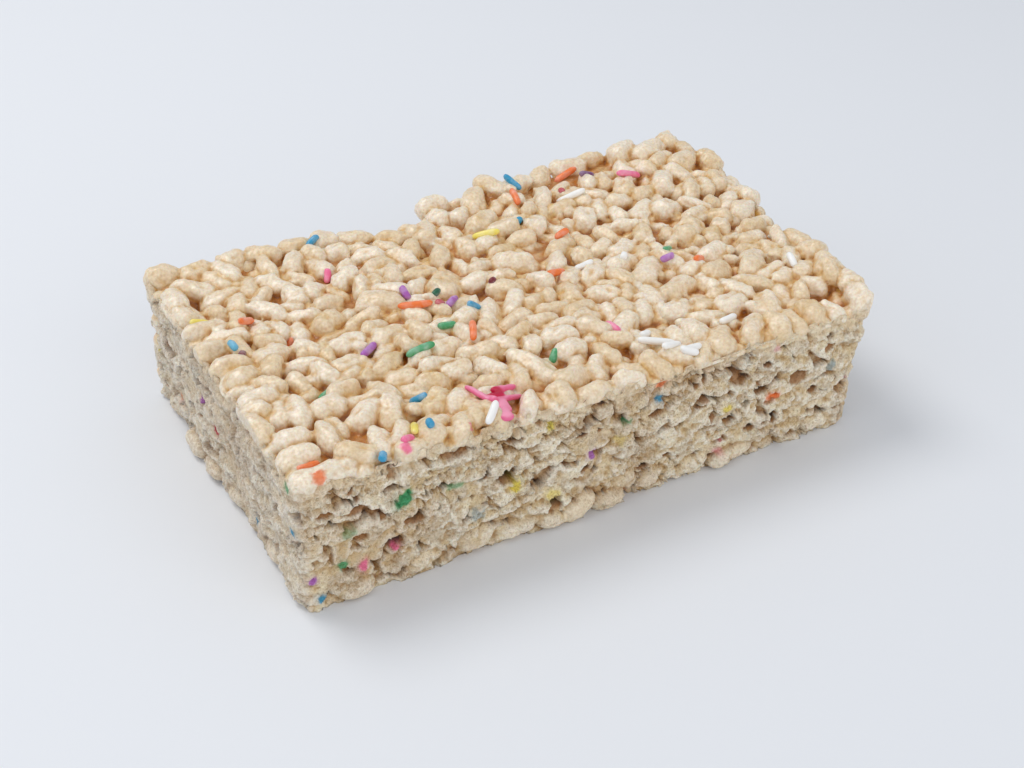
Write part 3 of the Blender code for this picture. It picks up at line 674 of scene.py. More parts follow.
def cutBelow(mesh, level):
    # The hidden lower side becomes one flat face
    shape = bmesh.new()
    shape.from_mesh(mesh)
    cut = bmesh.ops.bisect_plane(
        shape, geom=shape.verts[:] + shape.edges[:] + shape.faces[:], dist=1e-5,
        plane_co=(0.0, 0.0, level), plane_no=(0.0, 0.0, -1.0), clear_outer=True,
    )
    edges = [part for part in cut["geom_cut"] if isinstance(part, bmesh.types.BMEdge)]
    bmesh.ops.edgeloop_fill(shape, edges=edges)
    keepLargest(shape)
    bmesh.ops.triangulate(shape, faces=[face for face in shape.faces if len(face.verts) > 4])
    shape.to_mesh(mesh)
    shape.free()


def keepLargest(shape):
    # Loose scraps go
    waiting = set(shape.verts)
    shells = []
    while waiting:
        front = [waiting.pop()]
        shell = list(front)
        while front:
            for edge in front.pop().link_edges:
                for vert in edge.verts:
                    if vert in waiting:
                        waiting.discard(vert)
                        shell.append(vert)
                        front.append(vert)
        shells.append(shell)
    shells.sort(key=len)
    bmesh.ops.delete(shape, geom=[vert for shell in shells[:-1] for vert in shell], context="VERTS")


def webValleys(mesh, steps, share):
    # Melted marshmallow softens the valleys between the grains, and more in some places than in others
    ends = edgeEnds(mesh)
    places = readPlaces(mesh)
    softer = smoothStep(layeredNoise(places, 0.16, 31, 2), -0.35, 0.5)
    for _ in range(steps):
        normals = readNormals(mesh)
        rise = neighbourMean(places, ends) - places
        outward = (rise * normals).sum(axis=1)
        amount = np.where(outward > 0.0, share * (0.35 + 0.9 * softer), 0.12)
        places = places + rise * amount[:, None]
        writePlaces(mesh, places)


def squashBeyond(mesh):
    # What lies beyond a knife cut is pressed nearly flat onto it. Returns each point's share in a cut
    places = readPlaces(mesh)
    rough = layeredNoise(places, 0.55, 12, 2) * 0.12
    fine = layeredNoise(places, 1.3, 14, 2) * 0.10
    under = smoothStep(bar["height"] - riceTop["underFrom"] - places[:, 2], 0.0, riceTop["underOver"])
    inset = riceTop["cutInset"] + (rough + fine) * 0.5 + under * riceTop["cutUnder"]
    frontCut = bar["frontY"] + inset
    leftCut = bar["leftX"] + inset
    overFront = np.maximum(frontCut - places[:, 1], 0.0)
    overLeft = np.maximum(leftCut - places[:, 0], 0.0)
    places[:, 1] += overFront * (1.0 - riceTop["squashKept"])
    places[:, 0] += overLeft * (1.0 - riceTop["squashKept"])
    writePlaces(mesh, places)
    return smoothStep(np.maximum(overFront, overLeft), 0.0, 0.15)


def cavityDepth(mesh, steps):
    # How far each point stands above the surface around it, in millimetres
    ends = edgeEnds(mesh)
    places = readPlaces(mesh)
    mean = places
    for _ in range(steps):
        mean = mean + (neighbourMean(mean, ends) - mean) * 0.8
    return ((places - mean) * readNormals(mesh)).sum(axis=1)


def nearestGrain(places, items):
    # The number of the grain each point lies on, and the point in that grain's own directions
    owner = np.zeros(len(places), dtype=np.int64)
    best = np.full(len(places), 1e9)
    local = np.zeros((len(places), 3))
    for number, item in enumerate(items):
        middle = np.array(item["place"])
        reach = item["size"][0] * 1.25
        near = np.where((np.abs(places - middle) < reach).all(axis=1))[0]
        if len(near) == 0:
            continue
        roll, tilt, heading = item["turn"]
        turn = Matrix.Rotation(heading, 3, "Z") @ Matrix.Rotation(tilt, 3, "Y")
        turn = turn @ Matrix.Rotation(roll, 3, "X")
        own = (places[near] - middle) @ np.array(turn)
        distance = np.sqrt(((own / np.array(item["size"])) ** 2).sum(axis=1))
        closer = distance < best[near]
        best[near[closer]] = distance[closer]
        owner[near[closer]] = number
        local[near[closer]] = own[closer]
    return owner, local


# What the rice's skin looks like, as screen colours; honey, amber and brown serve as painted shade
riceLook = {
    "pale": (250, 237, 217), "warm": (239, 218, 185), "deepCream": (226, 197, 146),
    "honey": (222, 172, 82), "amber": (190, 113, 20), "brown": (108, 54, 9), "crumb": (232, 218, 195),
}


def riceColours(places, owner, cavity, crease, cut, drop, seed):
    # cavity and crease: how far a point stands above what is round it, widely and closely.
    # drop: how far it lies below the top. Low, creased and deep points get painted shade
    rng = np.random.default_rng(seed)
    tone = rng.uniform(0.0, 1.0, int(owner.max()) + 1)[owner]
    tone = tone + layeredNoise(places, 0.35, seed + 3, 3) * 0.35
    low = layeredNoise(places, 0.5, seed + 5, 2) * 0.12 - cavity + smoothStep(drop, 1.3, 3.2) * 0.6
    # Honey, amber and brown by low and crease: painted shade, and amber a painted glow through the rice
    layers = (
        ("warm", smoothStep(tone, 0.15, 0.9)), ("deepCream", smoothStep(tone, 0.85, 1.35) * 0.8),
        ("honey", smoothStep(low, -0.3, 0.5) * 0.55), ("honey", smoothStep(-crease, 0.0, 0.10) * 0.5),
        ("amber", smoothStep(-crease, 0.08, 0.22) * 0.7), ("brown", smoothStep(-crease, 0.2, 0.32) * 0.6),
        ("amber", smoothStep(low, 0.35, 0.9) * 0.85), ("brown", smoothStep(low, 0.8, 1.4) * 0.75),
        ("crumb", cut * 0.9),
    )
    colours = np.tile(linear(*riceLook["pale"]), (len(places), 1))
    for name, share in layers:
        colours = blendColour(colours, linear(*riceLook[name]), share)
    return colours


def fineRelief(mesh, local, owner):
    # Wrinkles along each grain and a slight waviness
    places = readPlaces(mesh)
    along = local * np.array([0.45, 1.0, 1.0]) + owner[:, None] * 7.3
    wrinkle = layeredNoise(along, 0.9, 21, 2) * riceTop["wrinkle"]
    writePlaces(mesh, places + readNormals(mesh) * wrinkle[:, None])


# Sprinkles cut through in the front rim's grains: x, height, radius and colour
rimStains = ((-54.8, 24.5, 1.25, "orange"), (-40.9, 24.9, 1.1, "pink"), (-29.3, 24.6, 1.0, "pink"))


def stainRim(colours, places):
    for x, level, radius, colour in rimStains:
        reach = np.hypot(places[:, 0] - x, places[:, 2] - level) + layeredNoise(places, 1.4, 17, 2) * 0.4
        share = (1.0 - smoothStep(reach / radius, 0.5, 1.0)) * (places[:, 1] < bar["frontY"] + 1.6)
        colours = blendColour(colours, linear(*sprinkleColours[colour]), share * 0.9)
    return colours


def riceSkin(name, items, settings, tree, shapes, finish, slab):
    # Grains and the marshmallow behind them become one skin. A part with a floor is cut flat below it,
    # and its front and left rims are pressed onto the knife cuts
    realized = scatter(name, tree, shapes, items, finish, 5)
    mesh = remeshed([realized, slab], settings["voxel"])
    if "floor" in settings:
        cutBelow(mesh, settings["floor"])
    webValleys(mesh, settings["webSteps"], settings["webShare"])
    owner, local = nearestGrain(readPlaces(mesh), items)
    fineRelief(mesh, local, owner)
    cut = squashBeyond(mesh) if "floor" in settings else np.zeros(len(mesh.vertices))
    # Cavity, crease and drop below the top set the painted shade in each point's colour
    cavity = cavityDepth(mesh, settings["cavitySteps"])
    crease = cavityDepth(mesh, settings["creaseSteps"])
    places = readPlaces(mesh)
    drop = np.array([topLevel(x, y) for x, y in places[:, :2]]) - places[:, 2]
    drop = drop * np.clip(readNormals(mesh)[:, 2] * 1.5, 0.0, 1.0)
    setColour(mesh, "tint", stainRim(riceColours(places, owner, cavity, crease, cut, drop, 3), places))
    setNumber(mesh, "cut", cut)
    setVector(mesh, "grainPlace", local + owner[:, None] * np.array([3.1, 5.7, 9.3]))
    mesh.materials.clear()
    mesh.materials.append(finish)
    mesh.shade_smooth()
    mesh.name = name
    print(name, "faces", len(mesh.polygons))
    return mesh


# The knife-cut sides
cutWalls = {
    # How far apart the points of the ring are on each side, and up the wall
    "frontStep": 0.21, "leftStep": 0.31, "rightStep": 0.6, "backStep": 3.0, "rise": 0.236,
    # The wall's top, and the shoulders that close it: how far in and how far down
    "deepestNotch": 2.5, "lip": 0.5, "belowRim": 1.0, "ripple": 0.7, "rimInset": 0.8, "belowBack": 4.5,
    "shoulders": ((0.6, 0.15), (1.3, 0.8), (4.0, 3.4)), "foot": (2.6, 1.2),
    # The rice behind the cut
    "apart": 4.0, "above": 3.3, "layers": (0.35, 3.1), "halfLength": (2.5, 4.2), "radius": (1.45, 2.1),
    "filler": 1.25, "fillerTorn": 1.0, "warp": 0.45, "swell": 0.3, "leftCalm": 0.55,
    # The crumb's relief in millimetres, and how many bubbles there are to a millimetre
    "plates": 0.9, "plateStep": 0.26, "pitDepth": 0.42, "seamDepth": 0.32,
    "tearDepth": 0.7, "flake": 0.34, "crumb": 0.12, "mostOut": 0.45, "footOut": 1.6, "hiddenDepth": -3.2,
    # Small hollows by rule: side, from, to and how many
    "small": (("left", -33.0, 33.0, 16), ("front", -56.0, 46.0, 26), ("right", -33.0, 30.0, 16)),
    # The right front corner leans out above this share of the height
    "cornerLean": 2.4, "leanAbove": 0.58,
}

# Height of the lower rim above the floor along the front
footRim = (
    (-58, 0.2), (-50, 0.3), (-45, 0.3), (-40, 0.4), (-35, 0.5), (-30, 0.9), (-21, 0.9), (-20, 0.3),
    (-15, 0.3), (-10, 0.1), (-8.5, 0.6), (-5, 0.2), (0, 0.6), (5, 0.6), (10, 0.4), (13, 0.9), (20, 0.4),
    (28, 0.5), (32, 1.2), (36, 0.3), (47, 0.5),
)

# Whole grains that show at the lower rim: side, place, height, half length, radius, lean in degrees,
# how proud and how smooth
rimGrains = (
    ("front", -10.7, 2.6, 3.6, 2.1, 30, 1.5, 0.95), ("front", -4.6, 1.7, 3.2, 1.7, 10, 1.3, 0.4),
    ("front", -15.6, 1.6, 3.0, 1.6, -10, 1.1, 0.25), ("front", 18.8, 1.7, 3.0, 1.7, 8, 1.4, 0.3),
    ("front", -50.0, 1.6, 3.2, 1.7, 5, 0.9, 0.2), ("left", 12.0, 1.8, 4.2, 1.9, 0, 1.6, 0.3),
    ("front", -1.4, 4.3, 2.6, 1.6, 20, 0.15, 0.3), ("front", -21.9, 2.1, 4.2, 2.0, 8, 0.4, 0.25),
    ("front", -29.2, 2.8, 3.4, 2.6, 0, 0.4, 0.25), ("front", -38.5, 2.2, 3.6, 1.9, 6, 0.3, 0.2),
    ("front", 4.2, 2.6, 2.8, 1.6, 15, 0.3, 0.3), ("front", 13.0, 2.4, 3.2, 1.8, 5, 0.25, 0.15),
    ("front", 22.6, 1.9, 3.2, 1.6, 4, 0.3, 0.45), ("front", 39.0, 2.0, 3.4, 1.7, 4, 0.25, 0.2),
    ("left", -22.0, 1.8, 3.4, 1.7, 0, 0.3, 0.3), ("left", -6.0, 1.9, 3.2, 1.8, 6, 0.35, 0.3),
    ("left", 3.5, 1.9, 3.2, 1.7, -5, 1.0, 0.3), ("left", 25.0, 1.9, 3.0, 1.6, 8, 0.3, 0.3),
    ("right", -20.0, 2.0, 3.4, 1.8, 10, 0.3, 0.6), ("right", -2.0, 1.8, 3.4, 1.6, -8, 0.3, 0.6),
    ("right", 17.0, 2.0, 3.4, 1.7, 5, 0.3, 0.6),
)

# Hollows that the knife opened: side, place along it, height, width, tallness, depth and painted shade
hollows = (
    ("front", -54.6, 17.6, 3.0, 1.5, 1.0, 0.4), ("front", -49.5, 16.4, 4.2, 1.7, 1.3, 0.45),
    ("front", -49.0, 11.2, 2.6, 1.6, 1.1, 0.45), ("front", -43.0, 22.3, 3.2, 2.3, 2.0, 0.8),
    ("front", -43.6, 7.4, 3.3, 2.5, 2.2, 0.85), ("front", -40.0, 10.8, 3.6, 1.7, 1.5, 0.5),
    ("front", -33.0, 21.2, 4.8, 1.9, 1.5, 0.35), ("front", -23.8, 13.2, 3.5, 2.9, 2.4, 1.0),
    ("front", -18.2, 22.2, 1.3, 1.3, 1.4, 1.0), ("front", -23.2, 20.0, 4.6, 1.0, 1.1, 0.7),
    ("front", -15.2, 4.3, 3.0, 1.5, 1.3, 0.6), ("front", -8.9, 9.2, 1.9, 1.5, 1.8, 0.95),
    ("front", -9.3, 23.0, 1.9, 2.0, 1.2, 0.5), ("front", 4.5, 15.6, 3.2, 1.4, 1.3, 0.6),
    ("front", 7.0, 6.6, 1.6, 1.5, 1.5, 0.85), ("front", 2.4, 5.5, 1.9, 1.3, 1.5, 0.85),
    ("front", 19.3, 9.6, 2.6, 1.7, 1.8, 0.9), ("front", 20.7, 17.6, 3.0, 3.4, 1.4, 0.4),
    ("front", 14.2, 22.6, 4.4, 2.6, 1.6, 0.35), ("front", 13.3, 20.2, 0.8, 3.2, 1.3, 0.9),
    ("front", 26.0, 13.5, 3.1, 2.0, 2.0, 0.95), ("front", 29.2, 6.7, 1.3, 2.6, 1.6, 0.85),
    ("front", 24.3, 6.0, 2.8, 1.5, 1.6, 0.85), ("front", 26.6, 18.5, 1.5, 1.2, 1.0, 0.6),
    ("front", 33.5, 14.0, 4.0, 3.0, 0.7, 0.4), ("front", 37.3, 9.8, 2.0, 1.4, 1.1, 0.6),
    ("front", 28.3, 23.6, 2.2, 1.2, 1.5, 0.8), ("front", 39.5, 18.0, 2.4, 1.6, 0.9, 0.3),
    ("left", -9.0, 10.4, 1.4, 2.1, 1.3, 0.6), ("left", -17.8, 11.2, 1.6, 2.5, 1.3, 0.6),
    ("left", 12.0, 8.0, 1.8, 2.4, 1.2, 0.5), ("left", 24.0, 15.0, 2.0, 1.6, 1.0, 0.4),
    ("right", -22.0, 7.0, 2.6, 1.8, 1.6, 0.7), ("right", -14.0, 13.5, 3.2, 1.8, 1.5, 0.6),
    ("right", -4.0, 6.0, 2.2, 2.0, 1.5, 0.8), ("right", 5.0, 15.0, 3.0, 1.6, 1.4, 0.5),
    ("right", 12.0, 9.0, 2.4, 2.2, 1.6, 0.8), ("right", 21.0, 13.0, 2.8, 1.6, 1.4, 0.6),
)

# Sprinkles that the knife cut: side, place, height, width, tallness, lean in degrees, colour and strength
cutSprinkles = (
    ("front", -54.8, 24.4, 2.2, 2.0, 0, "orange", 1.0), ("front", -45.0, 24.6, 2.1, 2.1, 0, "blue", 1.0),
    ("front", -41.7, 15.6, 2.6, 4.0, -35, "green", 1.0), ("front", -51.2, 12.9, 2.4, 2.2, 0, "green", 0.45),
    ("front", -52.3, 7.2, 2.3, 2.3, 0, "green", 0.9), ("front", -48.9, 5.4, 1.6, 2.6, 0, "pink", 0.9),
    ("front", -43.3, 6.6, 1.6, 1.3, 0, "pink", 0.9), ("front", -32.5, 14.5, 3.2, 1.1, 12, "green", 0.6),
    ("front", -29.2, 8.0, 3.0, 3.0, 0, "greyBlue", 0.5), ("front", -22.4, 11.4, 2.2, 3.0, -25, "yellow", 1.0),
    ("front", -16.1, 20.7, 1.8, 2.5, 0, "yellow", 0.9), ("front", -15.3, 6.4, 3.0, 2.5, 0, "yellow", 0.6),
    ("front", -7.9, 12.0, 2.1, 2.0, 0, "purple", 0.9), ("front", -1.6, 16.2, 1.8, 1.2, 10, "green", 0.7),
    ("front", -2.3, 12.9, 3.0, 2.5, 0, "yellow", 0.3), ("front", 4.9, 21.5, 2.7, 2.0, 0, "orange", 0.85),
    ("front", 4.8, 18.4, 2.2, 2.2, 0, "blue", 0.9), ("front", 18.5, 12.5, 2.3, 2.2, 0, "yellow", 0.9),
    ("front", 28.4, 11.5, 2.6, 2.0, 0, "orange", 0.9), ("front", 40.7, 14.0, 2.6, 2.4, 0, "greyBlue", 0.6),
    ("front", 44.5, 9.0, 1.8, 1.8, 0, "pink", 0.7), ("front", 18.3, 5.3, 1.4, 0.9, 0, "red", 0.7),
    ("front", 17.5, 3.5, 2.4, 1.6, 0, "pink", 0.35), ("front", 28.5, 21.0, 2.2, 1.4, 0, "pink", 0.3),
    ("front", -57.5, 6.2, 1.8, 1.8, 0, "purple", 0.95), ("front", -56.0, 2.3, 2.3, 1.9, 0, "blue", 0.95),
    ("left", -32.8, 22.3, 2.0, 1.8, 0, "green", 0.8), ("left", -34.2, 14.8, 2.0, 2.0, 0, "blue", 0.95),
    ("left", 5.0, 14.7, 1.6, 1.8, 30, "purple", 0.9), ("left", 0.0, 11.8, 1.6, 2.2, 20, "red", 0.95),
    ("left", -16.3, 4.5, 2.0, 1.8, 0, "blue", 0.9), ("left", 20.0, 6.0, 1.8, 1.6, 0, "orange", 0.8),
    ("left", 28.0, 12.0, 1.6, 2.0, 0, "yellow", 0.8),
    ("right", -28.0, 15.0, 2.0, 1.8, 0, "purple", 0.9), ("right", -18.0, 6.0, 2.2, 1.8, 0, "green", 0.9),
    ("right", -9.0, 18.0, 1.8, 2.2, 0, "orange", 0.9), ("right", 2.0, 10.0, 2.0, 1.8, 0, "pink", 0.9),
    ("right", 9.0, 4.0, 1.8, 1.6, 0, "blue", 0.9), ("right", 16.0, 17.0, 2.4, 1.6, 0, "yellow", 0.9),
    ("right", 24.0, 7.0, 1.8, 2.0, 0, "red", 0.8),
)

# The three dark colours are red, green and purple sugar as seen deep in crevices: painted shade
sprinkleColours = {
    "orange": (242, 122, 52), "yellow": (244, 224, 100), "green": (70, 160, 104), "blue": (42, 150, 192),
    "lightBlue": (84, 174, 206), "purple": (174, 96, 184), "pink": (244, 112, 158), "crimson": (206, 26, 76),
    "white": (248, 246, 242), "red": (196, 46, 66), "darkRed": (120, 26, 36), "greyBlue": (120, 150, 160),
    "darkGreen": (30, 96, 66), "darkPurple": (112, 48, 112),
}


def cornerArc(before, corner, after, radius, steps=8):
    towardsBefore = (before - corner).normalized()
    towardsAfter = (after - corner).normalized()
    halfAngle = towardsBefore.angle(towardsAfter) / 2
    reach = radius / math.tan(halfAngle)
    centre = corner + (towardsBefore + towardsAfter).normalized() * radius / math.sin(halfAngle)
    start = (corner + towardsBefore * reach - centre).normalized()
    end = (corner + towardsAfter * reach - centre).normalized()
    return [centre + start.slerp(end, step / steps) * radius for step in range(steps + 1)]


def wallPath():
    # Round the plan from the back left corner, anticlockwise, with the points closest where they show most
    frontLeft = Vector((bar["leftX"], bar["frontY"]))
    frontRight = Vector((bar["rightFrontX"], bar["frontY"]))
    backRight = Vector((bar["rightBackX"], bar["backY"]))
    backLeft = Vector((bar["leftX"], bar["backY"]))
    leftArc = cornerArc(backRight, backLeft, frontLeft, bar["backLeftRadius"])
    nearArc = cornerArc(backLeft, frontLeft, frontRight, bar["frontLeftRadius"])
    farArc = cornerArc(frontLeft, frontRight, backRight, bar["frontRightRadius"])
    rightArc = cornerArc(frontRight, backRight, backLeft, bar["backRightRadius"])
    backRun = [Vector((x, float(backLine(x)))) for x in np.linspace(rightArc[-1].x, leftArc[0].x, 60)[1:]]
    path = leftArc + nearArc + farArc + rightArc + backRun
    corners = np.array([(p.x, p.y) for p in path])
    steps = np.hypot(*np.diff(corners, axis=0).T)
    middle = (corners[1:] + corners[:-1]) / 2
    spacing = np.full(len(steps), cutWalls["backStep"])
    spacing[middle[:, 0] < bar["leftX"] + 1.0] = cutWalls["leftStep"]
    spacing[middle[:, 0] > rightLine(middle[:, 1]) - 1.5] = cutWalls["rightStep"]
    spacing[middle[:, 1] < bar["frontY"] + 1.0] = cutWalls["frontStep"]
    walked = np.concatenate([[0.0], np.cumsum(steps)])
    counted = np.concatenate([[0.0], np.cumsum(steps / spacing)])
    wanted = np.linspace(0.0, counted[-1], int(counted[-1]), endpoint=False)
    s = np.interp(wanted, counted, walked)
    return s, np.interp(s, walked, corners[:, 0]), np.interp(s, walked, corners[:, 1])


def ringNormals(x, y):
    alongX = np.roll(x, -3) - np.roll(x, 3)
    alongY = np.roll(y, -3) - np.roll(y, 3)
    size = np.hypot(alongX, alongY)
    return alongY / size, -alongX / size


def alongWall(side, place, s, x, y):
    # Where a place on one of the sides falls along the ring
    if side == "front":
        on = np.where(y < bar["frontY"] + 0.6)[0]
        return float(np.interp(place, x[on], s[on]))
    on = np.where(x < bar["leftX"] + 0.6)[0] if side == "left" else np.where(x > rightLine(y) - 1.2)[0]
    order = on[np.argsort(y[on])]
    return float(np.interp(place, y[order], s[order]))


def cutRice(s, z, rng):
    # The rice behind the cut: how deep it lies (0 where the knife went through), how far inside its outline
    # each place is, how far inside the next one's, and its number
    depth = np.full(len(s), 9.0)
    inside = np.full(len(s), -9.0)
    second = np.full(len(s), -9.0)
    owner = np.zeros(len(s), dtype=np.int64)
    columns = round(s.max() / cutWalls["apart"])
    rows = math.ceil(bar["height"] / cutWalls["above"]) + 1
    number = 0
    for layer in cutWalls["layers"]:
        for column in range(columns):
            for row in range(rows):
                middleS = (column + 0.5 * (row % 2) + rng.uniform(-0.3, 0.3)) * s.max() / columns
                middleZ = (row + rng.uniform(-0.3, 0.3)) * cutWalls["above"]
                sunk = layer + rng.uniform(-0.9, 0.9)
                half = rng.uniform(*cutWalls["halfLength"])
                radius = rng.uniform(*cutWalls["radius"])
                lean = Matrix.Rotation(rng.normal(0.0, 0.6), 3, "Z")
                turn = np.array(lean @ Matrix.Rotation(rng.uniform(-0.9, 0.9), 3, "Y"))
                form = turn @ np.diag([half ** -2, radius ** -2, radius ** -2]) @ turn.T
                number += 1
                near = np.where(np.abs(s - middleS) < half)[0]
                near = near[np.abs(z[near] - middleZ) < half]
                ds, dz = s[near] - middleS, z[near] - middleZ
                across = form[0, 2] * ds + form[1, 2] * dz - form[2, 2] * sunk
                level = (form[0, 0] * ds * ds + form[1, 1] * dz * dz + form[2, 2] * sunk * sunk
                         + 2.0 * (form[0, 1] * ds * dz - sunk * (form[0, 2] * ds + form[1, 2] * dz)) - 1.0)
                rooted = across ** 2 - form[2, 2] * level
                root = np.sqrt(np.maximum(rooted, 0.0))
                front = (-across - root) / form[2, 2]
                back = (-across + root) / form[2, 2]
                met = (rooted > 0.0) & (back > 0.0)
                found = np.where(met, np.maximum(front, 0.0), 9.0)
                within = np.where(back > 0.0, (1.0 - np.sqrt(level + 1.0)) * radius, -9.0)
                closer = (found < depth[near]) | ((found == depth[near]) & (within > inside[near]))
                second[near] = np.where(within > inside[near], inside[near], np.maximum(second[near], within))
                inside[near] = np.maximum(inside[near], within)
                owner[near[closer]] = number
                depth[near] = np.minimum(depth[near], found)
    return depth, inside, second, owner


def blurred(values, columns, rows, steps):
    # The values averaged with those round about, along the ring and up the wall
    grid = values.reshape(columns, rows)
    for _ in range(steps):
        grid = (grid * 2.0 + np.roll(grid, 1, axis=0) + np.roll(grid, -1, axis=0)) / 4.0
        padded = np.pad(grid, ((0, 0), (1, 1)), mode="edge")
        grid = (grid * 2.0 + padded[:, :-2] + padded[:, 2:]) / 4.0
    return grid.ravel()


def wallTop(x, y, nx, ny, skin):
    # The cut crumb ends a little below the tops of the rim's grains, and lower where they leave a gap
    level = np.array([topLevel(px, py) for px, py in zip(x, y)])
    inset = cutWalls["rimInset"]
    found = np.array([skinBelow(skin, px, py) for px, py in zip(x - nx * inset, y - ny * inset)])
    found = (np.roll(found, 1) + found * 2.0 + np.roll(found, -1)) / 4.0
    ripple = layeredNoise(np.column_stack([x, y, np.zeros(len(x))]), 0.25, 53, 3) * cutWalls["ripple"]
    top = np.minimum(level - cutWalls["belowRim"] + ripple, found - cutWalls["lip"])
    top = np.maximum(top, level - cutWalls["deepestNotch"])
    return np.where(ny > 0.4, level - cutWalls["belowBack"], top)


def wallGrid(skin):
    # The cut sides as a grid: s along the ring and z up the wall, with warped places that its rice is read at
    s, x, y = wallPath()
    nx, ny = ringNormals(x, y)
    top = wallTop(x, y, nx, ny, skin)
    rows = int(bar["height"] / cutWalls["rise"])
    gridS, gridX = np.repeat(s, rows), np.repeat(x, rows)
    gridZ = (top[:, None] * np.linspace(0.0, 1.0, rows)[None, :]).ravel()
    place = np.column_stack([gridS, gridZ, np.zeros(len(gridS))])
    return SimpleNamespace(
        s=s, x=x, y=y, nx=nx, ny=ny, top=top, rows=rows, place=place, gridS=gridS, gridZ=gridZ, gridX=gridX,
        gridY=np.repeat(y, rows), upTo=gridZ / np.repeat(top, rows),
        warpS=gridS + layeredNoise(place, 0.6, 61, 2) * cutWalls["warp"],
        warpZ=gridZ + layeredNoise(place, 0.6, 67, 2) * cutWalls["warp"],
        leftShare=smoothStep(bar["leftX"] + 1.6 - gridX, 0.0, 1.2),
    )


def nearOn(wall, side, where, level, wide, tall):
    # The middle of a feature along the ring, and the points round it
    middle = alongWall(side, where, wall.s, wall.x, wall.y)
    near = np.where((np.abs(wall.gridS - middle) < wide) & (np.abs(wall.gridZ - level) < tall))[0]
    return middle, near


def tornCrumb(wall, rng):
    # The rice that the knife went through, then the plates, pits, flakes and tears of the crumb between.
    # The left side is calmer. Pits, tears and the rice that lies back from the cut get painted shade
    place = wall.place
    calm = 1.0 - cutWalls["leftCalm"] * wall.leftShare
    torn = smoothStep(layeredNoise(place, 0.10, 73, 2), -0.15, 0.55)
    sunk, inside, second, owner = cutRice(wall.warpS, wall.warpZ, rng)
    tone = rng.uniform(0.0, 1.0, int(owner.max()) + 1)[owner]
    filler = cutWalls["filler"] + cutWalls["fillerTorn"] * torn + layeredNoise(place, 0.4, 69, 2) * 0.35
    sunk = np.minimum(sunk, filler)
    cutFlat = smoothStep(-sunk, -0.12, 0.0)
    relief = layeredNoise(place, 0.07, 71, 2) * cutWalls["swell"] - sunk
    seam = (1.0 - smoothStep(inside - second, 0.0, 0.22)) * cutFlat
    relief -= seam * (0.15 + 0.35 * torn) * calm

    wobble = layeredNoise(place, 1.1, 64, 2) * 0.3
    fine = np.column_stack([wall.warpS * 0.78 + wobble, wall.warpZ - wobble])
    edge, chance = bubblePattern(fine, cutWalls["plates"], 202)
    pit = smoothStep(edge, 0.04, 0.22) * smoothStep(chance, 0.66, 0.72)
    plateSeam = (1.0 - smoothStep(edge, 0.0, 0.13)) * smoothStep(chance, 0.05, 0.25)
    relief += (chance * 1.3 % 1.0 - 0.5) * cutWalls["plateStep"] * (1.0 - pit) * calm
    pit = pit * calm
    relief -= pit * cutWalls["pitDepth"] * (0.6 + 0.8 * torn)
    relief -= plateSeam * cutWalls["seamDepth"] * (0.25 + torn) * calm
    crumb = layeredNoise(place, 0.9, 75, 3)
    relief += crumb * cutWalls["crumb"]
    dragged = layeredNoise(place * np.array([0.45, 1.0, 1.0]), 0.45, 87, 3)
    relief += (smoothStep(dragged, -0.03, 0.03) - 0.5) * cutWalls["flake"]
    relief += (smoothStep(dragged, 0.36, 0.42) - 0.3) * cutWalls["flake"]
    tear = (1.0 - smoothStep(np.abs(dragged), 0.015, 0.085)) * smoothStep(torn, 0.3, 0.7) * calm
    relief -= tear * cutWalls["tearDepth"]
    # Painted shade in pits, tears and the rice that lies back from the cut
    paintedShade = np.clip(pit * 0.35 + tear * 0.5 + (1.0 - cutFlat) * 0.35, 0.0, 1.0)
    return relief, paintedShade, tone, crumb


def openHollows(wall, crumb, rng):
    # How deep each hollow goes, and how much painted shade each point in it gets, most towards its top
    small = []
    for side, low, high, count in cutWalls["small"]:
        spans = ((low, high), (2.0, 22.0), (0.9, 2.4), (0.6, 1.4), (0.5, 1.2), (0.2, 0.7))
        small += [(side, *(rng.uniform(*span) for span in spans)) for _ in range(count)]
    dent = np.zeros(len(wall.gridS))
    opened = np.zeros(len(wall.gridS))
    for side, where, level, wide, tall, deep, dark in hollows + tuple(small):
        middle, near = nearOn(wall, side, where, level, wide, tall + 0.5)
        ds = (wall.warpS[near] * 0.45 + wall.gridS[near] * 0.55 - middle) / (wide / 2)
        dz = (wall.warpZ[near] * 0.45 + wall.gridZ[near] * 0.55 - level) / (tall / 2)
        reach = np.sqrt(ds ** 2 + dz ** 2) + crumb[near] * 0.3
        inside = 1.0 - smoothStep(reach, 0.8, 1.1)
        dent[near] = np.maximum(dent[near], inside * deep * np.clip(0.72 + 0.38 * dz, 0.25, 1.0))
        shade = 0.35 + 0.65 * dark * np.clip(0.6 + 0.5 * dz, 0.0, 1.0)
        opened[near] = np.maximum(opened[near], inside * shade)
    return dent, opened


